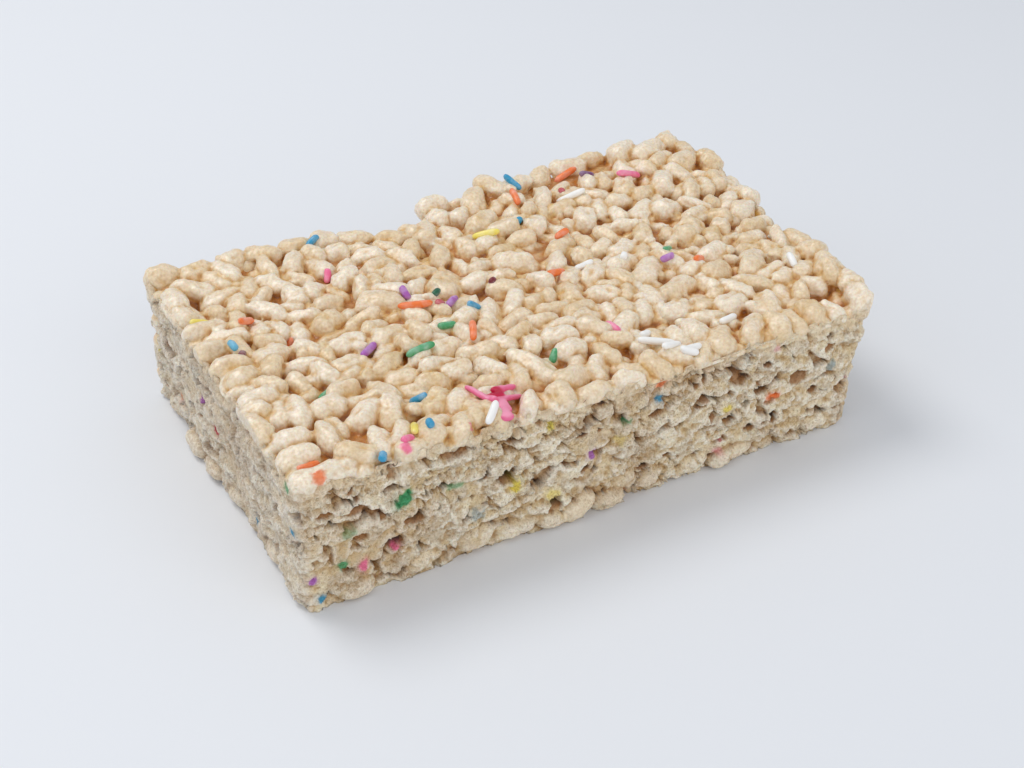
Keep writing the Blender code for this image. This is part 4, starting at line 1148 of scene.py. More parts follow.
def pressRimGrains(wall, relief, opened, paintedShade):
    # The whole grains of the lower rim bulge from the wall, each ringed by a shallow groove with painted
    # shade. Returns how smooth each point is
    smoothRice = np.zeros(len(wall.gridS))
    for side, where, level, half, radius, lean, proud, smooth in rimGrains:
        middle, near = nearOn(wall, side, where, level, half + 0.5, half)
        ds, dz = wall.gridS[near] - middle, wall.gridZ[near] - level
        turn = math.radians(lean)
        along = (ds * math.cos(turn) + dz * math.sin(turn)) / half
        aside = (dz * math.cos(turn) - ds * math.sin(turn)) / radius
        uneven = layeredNoise(wall.place[near], 0.7, 35, 2) * 0.12
        reach = np.sqrt(np.abs(along) ** 2.4 + aside ** 2) + uneven
        dome = np.sqrt(np.clip(1.0 - reach ** 2, 0.0, 1.0)) * 1.7 - 1.55 + proud
        rough = layeredNoise(wall.place[near], 0.5, 33, 2) * 0.12
        dome += rough + relief[near] * (1.0 - smooth) * 0.5
        on = (reach < 1.0) & (dome > -1.1)
        blend = smoothStep(1.0 - reach, 0.0, 0.12) * on
        relief[near] += (dome - relief[near]) * blend
        smoothRice[near] = np.maximum(smoothRice[near], blend * smooth)
        opened[near] *= 1.0 - blend
        paintedShade[near] *= 1.0 - blend
        rim = (reach >= 0.97) & (reach < 1.18)
        # Painted shade round the grain's outline
        paintedShade[near[rim]] = np.maximum(paintedShade[near[rim]], 0.45)
        relief[near[rim]] -= 0.25
    return smoothRice


def trimmedRelief(wall, relief):
    # Scalloped at the foot, level with the rim at the top, sunk behind the pan edge's grains
    scallop = smoothStep(layeredNoise(wall.place * np.array([1.0, 0.0, 0.0]), 0.16, 83, 2), -0.4, 0.6) * 2.0
    front = np.interp(wall.gridX, [spot[0] for spot in footRim], [spot[1] for spot in footRim])
    scallop = np.where(wall.gridY < bar["frontY"] + 0.6, front, scallop)
    scallop = np.where(wall.gridX < bar["leftX"] + 1.0, scallop * 0.3, scallop)
    undercut = smoothStep(1.0 - wall.gridZ / np.maximum(scallop + 0.3, 0.3), 0.0, 0.7)
    relief = relief - undercut * np.clip(scallop, 0.2, 1.6) * 0.7
    nearTop = smoothStep(wall.upTo, 0.95, 1.0)
    relief = np.where(nearTop > 0.0, relief + (np.clip(relief, -0.35, -0.02) - relief) * nearTop, relief)
    deepest = cutWalls["hiddenDepth"]
    relief = np.where(np.repeat(wall.ny > 0.5, wall.rows), deepest, relief)
    relief = np.clip(relief, deepest, np.where(wall.gridZ < 6.0, cutWalls["footOut"], cutWalls["mostOut"]))
    corner = smoothStep(wall.gridX, 43.0, 48.2) * (1.0 - smoothStep(wall.gridY, -26.0, -12.0))
    return relief + (wall.gridZ / bar["height"] - cutWalls["leanAbove"]) * cutWalls["cornerLean"] * corner


def wallBody(wall, relief):
    # The relief stands out from the ring, and two flat faces close it under the rim and above the floor
    outX = wall.gridX + np.repeat(wall.nx, wall.rows) * relief
    outY = wall.gridY + np.repeat(wall.ny, wall.rows) * relief
    rings = [(inset, wall.top - sink) for inset, sink in cutWalls["shoulders"]]
    rings.append((cutWalls["foot"][0], np.full(len(wall.s), cutWalls["foot"][1])))
    closing = [np.column_stack([wall.x - wall.nx * inset, wall.y - wall.ny * inset, z]) for inset, z in rings]
    verts = np.vstack([np.column_stack([outX, outY, wall.gridZ])] + closing)
    columns = len(wall.s)
    index = np.arange(columns * wall.rows).reshape(columns, wall.rows)
    closing = [columns * (wall.rows + k) + np.arange(columns) for k in range(len(rings))]
    levels = [closing[-1]] + [index[:, row] for row in range(wall.rows)] + closing[:-1]
    faces = []
    for lower, upper in zip(levels, levels[1:]):
        faces.append(np.column_stack([lower, np.roll(lower, -1), np.roll(upper, -1), upper]))
    faces = np.vstack(faces).tolist()
    faces.append(levels[-1].tolist())
    faces.append(levels[0][::-1].tolist())
    mesh = bpy.data.meshes.new("cutSides")
    mesh.from_pydata(verts.tolist(), [], faces)
    shape = bmesh.new()
    shape.from_mesh(mesh)
    bmesh.ops.triangulate(shape, faces=[face for face in shape.faces if len(face.verts) > 4])
    bmesh.ops.recalc_face_normals(shape, faces=shape.faces[:])
    shape.to_mesh(mesh)
    shape.free()
    return mesh


def wallMesh(finish, skin):
    rng = np.random.default_rng(23)
    wall = wallGrid(skin)
    relief, paintedShade, tone, crumb = tornCrumb(wall, rng)
    dent, opened = openHollows(wall, crumb, rng)
    relief = relief * (1.0 - 0.6 * np.clip(opened, 0, 1)) - dent
    relief = np.where(opened > 0.2, np.minimum(relief, 0.0), relief)
    smoothRice = pressRimGrains(wall, relief, opened, paintedShade)
    relief = trimmedRelief(wall, relief)
    mesh = wallBody(wall, relief)

    # How far each point lies below what is round it, which sets its painted shade and highlight
    low = blurred(relief, len(wall.s), wall.rows, 22) - relief
    colours = wallColours(wall.place, tone, low, paintedShade, opened)
    # The left side is blended toward a cool grey: painted cool light falling on that side
    colours = blendColour(colours, linear(*wallLook["cool"]), wall.leftShare * (1.0 - opened) * 0.35)
    colours = blendColour(colours, linear(*wallLook["skin"]), smoothRice * 0.9)
    rimShare = smoothStep(wall.upTo + layeredNoise(wall.place, 0.3, 37, 2) * 0.04, 0.86, 0.99)
    rimShare = rimShare * (1.0 - np.clip(opened, 0.0, 1.0))
    colours = blendColour(colours, linear(*riceLook["warm"]), rimShare * 0.65)
    colours = stainWall(colours, wall)
    full = np.tile(linear(*riceLook["crumb"]), (len(mesh.vertices), 1))
    # The hidden faces behind the rim are honey: painted shade for the gaps between the grains
    full[len(colours) + len(wall.s):] = linear(*riceLook["honey"])     # seen only through gaps between grains
    full[: len(colours)] = colours
    setColour(mesh, "tint", full)
    whole = np.zeros(len(mesh.vertices))
    whole[: len(smoothRice)] = np.maximum(smoothRice, rimShare * 0.7)
    setNumber(mesh, "whole", whole)
    mesh.materials.append(finish)
    mesh.shade_smooth()
    print("cutSides faces", len(mesh.polygons))
    return mesh


# What the cut faces look like, as screen colours. Tan (partly the crumb's own tone), amber and dark
# serve as painted shade, ridge as a painted highlight and cool as painted cool light on the left side
wallLook = {
    "pale": (246, 233, 203), "mid": (228, 207, 167), "tan": (190, 147, 86), "grey": (218, 209, 191),
    "amber": (160, 104, 44), "dark": (38, 19, 9), "skin": (247, 230, 201), "ridge": (252, 245, 229),
    "cool": (226, 217, 206),
}


def wallColours(place, tone, low, paintedShade, opened):
    # low: how far a point lies below what is round it. Low points, and the pits, tears and hollows passed
    # in, get tan, amber and dark as painted shade; raised points get ridge as a painted highlight. The
    # broad tan patches are the crumb's own tone
    mottle = tone * 0.6 + 0.4 + layeredNoise(place, 0.5, 91, 3) * 0.5
    layers = (
        ("mid", smoothStep(mottle, 0.35, 1.0)),
        ("grey", smoothStep(layeredNoise(place, 0.3, 95, 3), 0.0, 0.7) * 0.7),
        ("ridge", smoothStep(-low, 0.05, 0.25) * 0.8),
        ("tan", smoothStep(layeredNoise(place, 0.09, 97, 2), 0.0, 0.8) * 0.25),
        ("tan", np.maximum(smoothStep(low, 0.05, 0.3) * 0.65, paintedShade * 0.7)),
        ("amber", smoothStep(low, 0.3, 0.8) * 0.8), ("amber", smoothStep(opened, 0.1, 0.5) * 0.85),
        ("dark", smoothStep(low, 0.6, 1.1) * 0.9), ("dark", smoothStep(opened, 0.45, 0.72) * 0.95),
    )
    colours = np.tile(linear(*wallLook["pale"]), (len(place), 1))
    for name, share in layers:
        colours = blendColour(colours, linear(*wallLook[name]), share)
    return colours


def stainWall(colours, wall):
    # Cut sprinkles show as ragged spots, with a faint ring of colour that ran into the crumb
    streak = layeredNoise(wall.place * np.array([1.0, 0.5, 1.0]), 1.2, 99, 2)
    for side, where, level, wide, tall, lean, colour, strength in cutSprinkles:
        middle, near = nearOn(wall, side, where, level, wide * 1.6, tall * 1.6)
        ds = wall.warpS[near] * 0.35 + wall.gridS[near] * 0.65 - middle
        dz = wall.warpZ[near] * 0.35 + wall.gridZ[near] * 0.65 - level
        turn = math.radians(lean)
        along = (ds * math.cos(turn) + dz * math.sin(turn)) / (wide / 2)
        aside = (dz * math.cos(turn) - ds * math.sin(turn)) / (tall / 2)
        reach = np.sqrt(along ** 2 + aside ** 2) + streak[near] * 0.35
        core = (1.0 - smoothStep(reach, 0.55, 1.0)) * strength
        ring = (1.0 - smoothStep(reach, 0.9, 1.7)) * 0.5 * strength
        spot = linear(*sprinkleColours[colour])
        colours[near] = blendColour(colours[near], spot * 0.4 + 0.6 * colours[near], ring)
        colours[near] = blendColour(colours[near], spot, core)
    return colours


# The rounded grains of the edge that lay against the pan
panEdge = {
    "layers": ((22, 0.0), (20, 1.7)),     # grains along the edge, and how much deeper they lie
    "rows": (2.3, 5.4, 8.6, 11.8, 15.0, 18.2, 21.2), "turned": 0.25, "belowTop": 1.2,
    "voxel": 0.46, "webSteps": 3, "webShare": 0.4, "cavitySteps": 18, "creaseSteps": 5,
    "slabOutline": ((3.0, 1.0), (2.5, 20.5), (6.0, 20.5), (6.0, 1.0)),     # depth behind the edge, height
    "slabFrom": 3.5, "slabTo": 7.0,
}


def panEdgeGrains():
    # They follow the back edge and its two corners
    rng = np.random.default_rng(58)
    s, x, y = wallPath()
    nx, ny = ringNormals(x, y)
    on = np.where(ny > panEdge["turned"])[0]
    on = np.concatenate([on[on > len(s) / 2], on[on <= len(s) / 2]])
    walked = np.concatenate([[0.0], np.cumsum(np.hypot(np.diff(x[on]), np.diff(y[on])))])
    grains = []
    spots = [(*layer, column) for layer in panEdge["layers"] for column in range(layer[0])]
    for columns, deeper, column in spots:
        for row, level in enumerate(panEdge["rows"]):
            share = (column + 0.25 + 0.5 * (row % 2) + rng.uniform(-0.25, 0.25)) / columns
            where = share * walked[-1]
            edgeX, edgeY, outX, outY = (np.interp(where, walked, some[on]) for some in (x, y, nx, ny))
            radius, half = rng.uniform(*grain["radius"]), rng.uniform(*grain["halfLength"])
            sunk = radius + deeper + rng.uniform(-0.2, 0.6)
            tilt = rng.uniform(-1.2, 1.2) * (0.3 if row == 0 else 1.0)
            level += rng.uniform(-0.7, 0.7)
            reach = half * abs(math.sin(tilt))
            highest = float(topLevel(edgeX, edgeY)) - panEdge["belowTop"] - radius - reach
            grains.append({
                "x": float(edgeX - outX * sunk), "y": float(edgeY - outY * sunk),
                "z": min(max(level, radius * 1.05 + reach), highest),
                "heading": math.atan2(outX, -outY) + rng.uniform(-0.3, 0.3), "tilt": tilt,
                "half": half, "radius": radius,
            })
    return grains


def backSlab():
    # Marshmallow behind the pan-edge grains
    shape = bmesh.new()
    rings = []
    for x in np.linspace(bar["leftX"] + panEdge["slabFrom"], bar["rightBackX"] - panEdge["slabTo"], 60):
        back = float(backLine(x))
        rings.append([shape.verts.new((x, back - deep, z)) for deep, z in panEdge["slabOutline"]])
    for first, second in zip(rings, rings[1:]):
        for i in range(4):
            shape.faces.new((first[i], first[(i + 1) % 4], second[(i + 1) % 4], second[i]))
    shape.faces.new(rings[0][::-1])
    shape.faces.new(rings[-1])
    bmesh.ops.recalc_face_normals(shape, faces=shape.faces[:])
    return meshFromShape("backSlab", shape)


# The pressed underside
underside = {"step": 0.8, "inset": 1.6, "top": 2.4, "grains": 250, "valley": 1.3, "wave": 0.08}


def pressedDepth(gridX, gridY, rng):
    # How high above the floor each point is between the grains that lie on it, and which grain it is on
    depth = np.full(len(gridX), underside["valley"])
    owner = np.zeros(len(gridX), dtype=np.int64)
    for number, one in enumerate(settleGrains(rng, underside["grains"])):
        half, turn = one["half"], one["heading"]
        near = np.where((np.abs(gridX - one["x"]) < half) & (np.abs(gridY - one["y"]) < half))[0]
        dx, dy = gridX[near] - one["x"], gridY[near] - one["y"]
        along = (dx * math.cos(turn) + dy * math.sin(turn)) / half
        aside = (dy * math.cos(turn) - dx * math.sin(turn)) / (one["radius"] * 1.1)
        level = underside["valley"] * smoothStep(np.sqrt(along ** 2 + aside ** 2), 0.7, 1.05)
        lower = level < depth[near]
        depth[near[lower]] = level[lower]
        owner[near[lower]] = number
    return depth, owner


def undersideMesh(finish):
    inset = underside["inset"]
    xs = np.arange(bar["leftX"] + inset, bar["rightBackX"] - inset, underside["step"])
    share = np.linspace(0.0, 1.0, int(bar["depth"] / underside["step"]))
    gridX = np.repeat(xs, len(share))
    front = bar["frontY"] + inset
    gridY = front + np.tile(share, len(xs)) * (np.repeat(backLine(xs), len(share)) - inset - front)
    gridX = np.minimum(gridX, rightLine(gridY) - inset)
    depth, owner = pressedDepth(gridX, gridY, np.random.default_rng(88))
    place = np.column_stack([gridX, gridY, np.zeros(len(gridX))])
    depth += np.abs(layeredNoise(place, 0.5, 41, 2)) * underside["wave"]
    shape = bmesh.new()
    lower = [shape.verts.new((px, py, pz)) for px, py, pz in zip(gridX, gridY, depth)]
    rows = len(share)
    rim = [i * rows for i in range(len(xs))] + [(len(xs) - 1) * rows + j for j in range(1, rows)]
    rim += [i * rows + rows - 1 for i in range(len(xs) - 2, -1, -1)] + [j for j in range(rows - 2, 0, -1)]
    for i in range(len(xs) - 1):
        for j in range(rows - 1):
            corner = i * rows + j
            beside = corner + rows
            shape.faces.new((lower[corner], lower[corner + 1], lower[beside + 1], lower[beside]))
    upper = [shape.verts.new((gridX[i], gridY[i], underside["top"])) for i in rim]
    for k in range(len(rim)):
        after = (k + 1) % len(rim)
        shape.faces.new((lower[rim[k]], lower[rim[after]], upper[after], upper[k]))
    shape.faces.new(upper)
    bmesh.ops.triangulate(shape, faces=[face for face in shape.faces if len(face.verts) > 4])
    bmesh.ops.recalc_face_normals(shape, faces=shape.faces[:])
    mesh = meshFromShape("underside", shape)
    # The height between the pressed grains goes in as cavity: painted shade in the valleys
    cavity = np.zeros(len(mesh.vertices))
    cavity[: len(depth)] = -depth * 0.9
    owners = np.zeros(len(mesh.vertices), dtype=np.int64)
    owners[: len(owner)] = owner
    places = readPlaces(mesh)
    flat = np.zeros(len(places))
    setColour(mesh, "tint", riceColours(places, owners, cavity, cavity * 0.3, flat, flat, 12))
    setNumber(mesh, "cut", np.zeros(len(places)))
    setVector(mesh, "grainPlace", places)
    mesh.materials.append(finish)
    mesh.shade_smooth()
    return mesh


# Sugar strands on the top
strand = {"radius": 0.64, "shapes": 4, "bend": 0.22, "uneven": 0.10, "sit": 0.45, "onHighest": 0.7}

# Colour, x, y, heading in degrees, length, and how far each is sunk
topStrands = (
    ("yellow", -55.0, 14.5, -10, 3.8, 0.3), ("orange", -48.5, 10.0, 28, 3.8, 0.2),
    ("orange", -43.0, 4.5, 20, 2.4, 1.4), ("lightBlue", -53.3, 3.4, 90, 3.2, 0.3),
    ("darkRed", -52.7, 0.8, 60, 1.8, 1.0), ("green", -44.6, -14.5, 23, 3.6, 0.5),
    ("purple", -33.8, -7.0, 37, 4.7, 0.1), ("pink", -29.7, 19.2, 60, 2.8, 0.2),
    ("blue", -27.5, 31.0, 20, 3.2, 0.2), ("purple", -21.0, 5.6, 100, 2.8, 0.3),
    ("orange", -21.8, 0.0, -23, 6.0, 0.1), ("red", -17.4, -0.7, 20, 2.2, 0.3),
    ("purple", -15.0, -0.5, 42, 4.2, 0.3), ("darkGreen", -16.0, 3.5, 30, 2.0, 0.8),
    ("blue", -13.0, -4.6, 0, 2.8, 0.3), ("green", -19.4, -7.0, -22, 3.2, 0.4),
    ("orange", -17.2, -12.2, 64, 4.6, 0.1), ("green", -27.6, -13.6, 0, 5.2, 0.1),
    ("blue", -32.9, -23.5, -42, 3.4, 0.3), ("white", -25.9, -34.6, 42, 4.6, -0.2),
    ("yellow", -37.0, -30.3, 66, 6.0, 0.1), ("blue", -35.7, -33.0, 80, 1.8, 0.0),
    ("pink", -39.7, -33.4, 30, 3.0, 0.3), ("blue", -44.5, -34.9, 60, 1.8, 0.0),
    ("orange", -54.6, -30.7, 10, 4.0, 0.5), ("darkRed", -5.9, 1.6, 40, 1.6, 0.6),
    ("yellow", 1.2, 17.0, -33, 5.3, 0.1), ("blue", 15.0, 31.5, -58, 4.4, 0.2),
    ("orange", 12.5, 26.0, 80, 4.6, 0.2), ("blue", 9.3, 19.0, 30, 1.6, 0.3),
    ("orange", 13.9, 11.0, 8, 3.2, 0.3), ("orange", 5.2, -1.3, 13, 4.5, 0.6),
    ("white", 12.0, 0.0, 0, 4.0, 0.5), ("white", 18.9, -2.4, 50, 1.8, 0.3),
    ("orange", 27.8, 32.6, 2, 5.3, 0.1), ("darkPurple", 30.5, 29.0, 10, 4.0, 0.5),
    ("red", 23.0, 26.0, 70, 2.0, 0.5), ("white", 22.9, 22.5, -25, 6.2, 0.1),
    ("pink", 37.4, 24.4, 2, 6.0, 0.1), ("orange", 49.0, 11.5, 20, 3.2, 0.9),
    ("green", 27.7, -3.4, 30, 2.8, 0.4), ("purple", 25.2, -7.0, -40, 2.8, 0.2),
    ("orange", 30.2, -9.8, 20, 2.8, 0.3), ("pink", 5.0, -20.6, -80, 3.6, 0.8),
    ("white", 8.8, -28.0, -27, 6.6, 0.0), ("white", 8.5, -25.0, 20, 2.4, 0.4),
    ("white", 12.5, -33.0, 10, 4.0, 0.3), ("green", -8.2, -23.3, 40, 2.8, 0.9),
    ("white", 9.6, -31.0, 10, 4.4, 0.1), ("white", 11.4, -33.6, -30, 3.2, 0.0),
    ("white", 23.7, -27.6, 10, 4.0, 0.1), ("white", 44.0, -18.8, 75, 3.6, 0.1),
)

# The strands that melted together near the front
melted = {
    # x, y, heading, length
    "strands": (
        (-24.9, -27.9, -83, 6.6), (-21.2, -30.7, 15, 7.6), (-20.6, -28.6, 4, 5.0), (-24.0, -30.6, -75, 3.0),
    ),
    # x, y, heading, half length, half width
    "pools": ((-22.8, -29.7, 5, 2.1, 1.6), (-23.0, -32.3, 80, 2.2, 1.4), (-23.6, -34.5, 75, 1.8, 1.2)),
    "core": (-22.7, -29.6, 2.1),     # x, y and reach of the crimson
    "sunk": 0.2, "flattened": (0.85, 0.8), "poolHeight": 0.7, "poolSunk": 0.2, "voxel": 0.19, "softened": 3,
    # The pale pink of the painted highlight on faces that look up
    "paintedShine": (255, 176, 202),
}


def strandShape(number):
    # A rod with round ends, slightly bent and uneven
    shape = bmesh.new()
    bmesh.ops.create_icosphere(shape, subdivisions=3, radius=1.0)
    offset = Vector((number * 5.3, 2.0, number * 1.9))
    for vert in shape.verts:
        d = vert.co
        ends = abs(d.x) ** 2.2
        width = math.sqrt(max(0.0, 1.0 - ends ** 2.5)) / max(1e-6, math.sqrt(max(1e-9, 1.0 - d.x * d.x)))
        width *= 1.0 + strand["uneven"] * noise.noise(d * 1.7 + offset)
        bend = strand["bend"] * (d.x * d.x - 0.4) * (1 if number % 2 else -1)
        vert.co = Vector((d.x, d.y * min(width, 2.2) + bend, d.z * min(width, 2.2)))
    return meshFromShape("strandShape", shape)


def skinBelow(tree, x, y):
    hit = tree.ray_cast(Vector((x, y, 60.0)), Vector((0.0, 0.0, -1.0)))
    return hit[0].z if hit[0] else topLevel(x, y) - 1.0


def laidStrand(tree, x, y, heading, length, sunk, number):
    # The strand lies on the grains under its two ends and its middle
    turn = math.radians(heading)
    step = Vector((math.cos(turn), math.sin(turn))) * length * 0.4
    shares = np.array([-1.0, -0.5, 0.0, 0.5, 1.0])
    heights = np.array([skinBelow(tree, x + step.x * share, y + step.y * share) for share in shares])
    slope = float(np.clip((heights * shares).sum() / (shares ** 2).sum(), -1.2, 1.2))
    pitch = math.atan2(-slope, length * 0.4)
    highest, mean = float((heights - slope * shares).max()), float(heights.mean())
    level = highest * strand["onHighest"] + mean * (1.0 - strand["onHighest"])
    level += strand["radius"] * (strand["sit"] - sunk)
    return {
        "place": (x, y, level), "turn": (number * 1.7, pitch, turn),
        "size": (length / 2, strand["radius"], strand["radius"]), "variant": number % strand["shapes"],
    }


def newMaterial(name, shaderValues):
    material = bpy.data.materials.new(name)
    material.use_nodes = True
    shader = material.node_tree.nodes["Principled BSDF"]
    setInputs(shader, shaderValues)
    return material, material.node_tree, shader


def setInputs(node, values):
    for name, value in values.items():
        node.inputs[name].default_value = value


def objectPlace(tree):
    return tree.nodes.new("ShaderNodeTexCoord").outputs["Object"]


def readAttribute(tree, name, output):
    node = tree.nodes.new("ShaderNodeAttribute")
    node.attribute_name = name
    return node.outputs[output]


def readTint(tree):
    node = tree.nodes.new("ShaderNodeVertexColor")
    node.layer_name = "tint"
    return node.outputs["Color"]


def noiseAt(tree, place, values):
    node = tree.nodes.new("ShaderNodeTexNoise")
    setInputs(node, values)
    tree.links.new(place, node.inputs["Vector"])
    return node.outputs


def bubblesAt(tree, place, feature, scale):
    node = tree.nodes.new("ShaderNodeTexVoronoi")
    node.feature = feature
    node.inputs["Scale"].default_value = scale
    tree.links.new(place, node.inputs["Vector"])
    return node.outputs["Distance"]


def rampOf(tree, value, stops):
    # stops: two places on the ramp, each with its colour
    node = tree.nodes.new("ShaderNodeValToRGB")
    for element, (position, colour) in zip(node.color_ramp.elements, stops):
        element.position = position
        element.color = (*colour, 1.0)
    tree.links.new(value, node.inputs[0])
    return node.outputs["Color"]


def rangeOf(tree, value, values):
    node = tree.nodes.new("ShaderNodeMapRange")
    setInputs(node, values)
    tree.links.new(value, node.inputs["Value"])
    return node.outputs[0]


def placesTimes(tree, operation, place, factors):
    node = tree.nodes.new("ShaderNodeVectorMath")
    node.operation = operation
    node.inputs[1].default_value = factors
    tree.links.new(place, node.inputs[0])
    return node


def multiplied(tree, first, second, share):
    # share: how much of the second counts, a number or another node's output
    node = tree.nodes.new("ShaderNodeMix")
    node.data_type = "RGBA"
    node.blend_type = "MULTIPLY"
    if isinstance(share, float):
        node.inputs["Factor"].default_value = share
    else:
        tree.links.new(share, node.inputs["Factor"])
    tree.links.new(first, node.inputs[6])
    tree.links.new(second, node.inputs[7])
    return node.outputs[2]


def bumped(tree, height, strength, distance, under=None, inverted=False):
    node = tree.nodes.new("ShaderNodeBump")
    node.invert = inverted
    setInputs(node, {"Strength": strength, "Distance": distance})
    tree.links.new(height, node.inputs["Height"])
    if under:
        tree.links.new(under, node.inputs["Normal"])
    return node.outputs["Normal"]


white = (1.0, 1.0, 1.0)

# The skin of the puffed rice. Bumps are strength and height in metres
riceFinish = {
    "mottle": {"Scale": 2000.0, "Detail": 4.0}, "mottleStops": ((0.35, (0.86, 0.80, 0.72)), (0.62, white)),
    "rough": {"To Min": 0.33, "To Max": 0.8},
    "wrinkle": {"Scale": 1.6, "Detail": 3.0}, "wrinkleStretch": (0.35, 1.0, 1.0),
    "wrinkleBump": (0.5, 0.00022),
    "blister": 1350.0, "blisterBump": (0.7, 0.0003),
    "grit": {"Scale": 2600.0, "Detail": 3.0}, "gritBump": (0.35, 0.00006),
    "shader": {
        "Subsurface Weight": 0.3, "Subsurface Radius": (1.0, 0.66, 0.34), "Subsurface Scale": 0.0011,
        "Coat Weight": 0.3, "Coat Roughness": 0.28, "Specular IOR Level": 0.5,
    },
}


def riceMaterial():
    look = riceFinish
    material, tree, shader = newMaterial("puffedRice", look["shader"])
    place = objectPlace(tree)
    mottle = noiseAt(tree, place, look["mottle"])["Fac"]
    base = multiplied(tree, readTint(tree), rampOf(tree, mottle, look["mottleStops"]), 1.0)
    tree.links.new(base, shader.inputs["Base Color"])
    rough = rangeOf(tree, readAttribute(tree, "cut", "Fac"), look["rough"])
    tree.links.new(rough, shader.inputs["Roughness"])
    own = readAttribute(tree, "grainPlace", "Vector")
    stretched = placesTimes(tree, "MULTIPLY", own, look["wrinkleStretch"]).outputs[0]
    normal = bumped(tree, noiseAt(tree, stretched, look["wrinkle"])["Fac"], *look["wrinkleBump"])
    blister = bubblesAt(tree, place, "SMOOTH_F1", look["blister"])
    normal = bumped(tree, blister, *look["blisterBump"], normal, True)
    normal = bumped(tree, noiseAt(tree, place, look["grit"])["Fac"], *look["gritBump"], normal)
    tree.links.new(normal, shader.inputs["Normal"])
    return material


# The cut crumb: speckles, fine dark specks that are fainter on whole grains, and patches of open foam
# whose pores are darkened with painted shade
crumbFinish = {
    "speckle": {"Scale": 1500.0, "Detail": 5.0, "Roughness": 0.65}, "speckleShare": 0.75,
    "speckleStops": ((0.34, (0.70, 0.61, 0.51)), (0.60, white)), "speckleBump": (0.6, 0.00025),
    "darkSpecks": {"Scale": 3400.0, "Detail": 3.0, "Roughness": 0.7}, "darkSpeckRange": {"To Min": 0.75, "To Max": 0.2},
    "darkSpeckStops": ((0.31, (0.30, 0.21, 0.13)), (0.45, white)), "darkSpeckBump": (0.6, 0.00014),
    "drift": {"Scale": 900.0}, "driftReach": (0.0006, 0.0006, 0.0006),
    "pore": 1500.0, "poreStops": ((0.04, white), (0.22, (0.66, 0.55, 0.43))), "poreBump": (0.5, 0.0002),
    "foam": {"Scale": 260.0, "Detail": 3.0},
    "foamRange": {"From Min": 0.42, "From Max": 0.62, "To Max": 0.55},
    "shader": {
        "Roughness": 0.72, "Subsurface Weight": 0.15, "Subsurface Radius": (1.0, 0.6, 0.35),
        "Subsurface Scale": 0.0007,
    },
}


def crumbMaterial():
    look = crumbFinish
    material, tree, shader = newMaterial("cutCrumb", look["shader"])
    place = objectPlace(tree)
    speckle = noiseAt(tree, place, look["speckle"])["Fac"]
    speckled = rampOf(tree, speckle, look["speckleStops"])
    base = multiplied(tree, readTint(tree), speckled, look["speckleShare"])
    darkSpecks = noiseAt(tree, place, look["darkSpecks"])["Fac"]
    darkSpeckShare = rangeOf(tree, readAttribute(tree, "whole", "Fac"), look["darkSpeckRange"])
    base = multiplied(tree, base, rampOf(tree, darkSpecks, look["darkSpeckStops"]), darkSpeckShare)
    drift = noiseAt(tree, place, look["drift"])["Color"]
    pushed = placesTimes(tree, "MULTIPLY_ADD", drift, look["driftReach"])
    tree.links.new(place, pushed.inputs[2])
    # Pores: the middles of small cells are darkened where the foam is open, as painted shade
    pore = bubblesAt(tree, pushed.outputs[0], "DISTANCE_TO_EDGE", look["pore"])
    pores = rampOf(tree, pore, look["poreStops"])
    openFoam = rangeOf(tree, noiseAt(tree, place, look["foam"])["Fac"], look["foamRange"])
    base = multiplied(tree, base, pores, openFoam)
    tree.links.new(base, shader.inputs["Base Color"])
    normal = bumped(tree, speckle, *look["speckleBump"])
    normal = bumped(tree, pores, *look["poreBump"], normal)
    normal = bumped(tree, darkSpecks, *look["darkSpeckBump"], normal)
    tree.links.new(normal, shader.inputs["Normal"])
    return material


sugarFinish = {
    "cloud": {"Scale": 700.0, "Detail": 3.0}, "cloudFrom": 0.4, "cloudTo": 0.72, "paler": 0.25,
    "bump": (0.3, 0.0001), "meltedVeil": (0.86, 0.78, 0.80), "veilShare": 0.6,
    "shader": {
        "Roughness": 0.45, "Subsurface Weight": 0.15, "Subsurface Radius": (0.8, 0.8, 0.8),
        "Subsurface Scale": 0.0006, "Coat Weight": 0.2,
    },
}


def sprinkleMaterial(name, screen=None):
    # The given colour in pale clouds, or for the melted sugar the clouds over its own tint
    look = sugarFinish
    material, tree, shader = newMaterial(name, look["shader"])
    cloud = noiseAt(tree, objectPlace(tree), look["cloud"])["Fac"]
    colour = linear(*screen) if screen else np.array(look["meltedVeil"])
    pale = colour + (1.0 - colour) * look["paler"]
    base = rampOf(tree, cloud, ((look["cloudFrom"], colour), (look["cloudTo"], pale)))
    if not screen:
        base = multiplied(tree, readTint(tree), base, look["veilShare"])
    tree.links.new(base, shader.inputs["Base Color"])
    tree.links.new(bumped(tree, cloud, *look["bump"]), shader.inputs["Normal"])
    return material


def skinTree(meshes):
    places, faces = [], []
    for mesh in meshes:
        start = len(places)
        places += [tuple(place) for place in readPlaces(mesh)]
        faces += [tuple(start + corner for corner in face.vertices) for face in mesh.polygons]
    return BVHTree.FromPolygons(places, faces)


def finishPiece(piece):
    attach(piece, "root")
    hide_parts("treat")


def buildTop(tree, shapes, finish):
    # Three stretches that meet between grains, so that each can be fine enough
    kept = topGrains() + lowerGrains() + brokenBits()
    items = [grainItem(one, number) for number, one in enumerate(kept)]
    over = riceTop["overlap"]
    first, second = riceTop["splits"]
    far = bar["backLength"]
    parts = (("riceTopLeft", -far, first), ("riceTopMiddle", first, second), ("riceTopRight", second, far))
    stretches = []
    for name, low, high in parts:
        chosen = [item for item in items if low <= item["place"][0] < high]
        slab = slabMesh(low - over, high + over)
        stretches.append(riceSkin(name, chosen, riceTop, tree, shapes, finish, slab))
    return stretches


def buildPanEdge(tree, shapes, finish):
    items = [grainItem(one, number + 3) for number, one in enumerate(panEdgeGrains())]
    return riceSkin("panEdge", items, panEdge, tree, shapes, finish, backSlab())


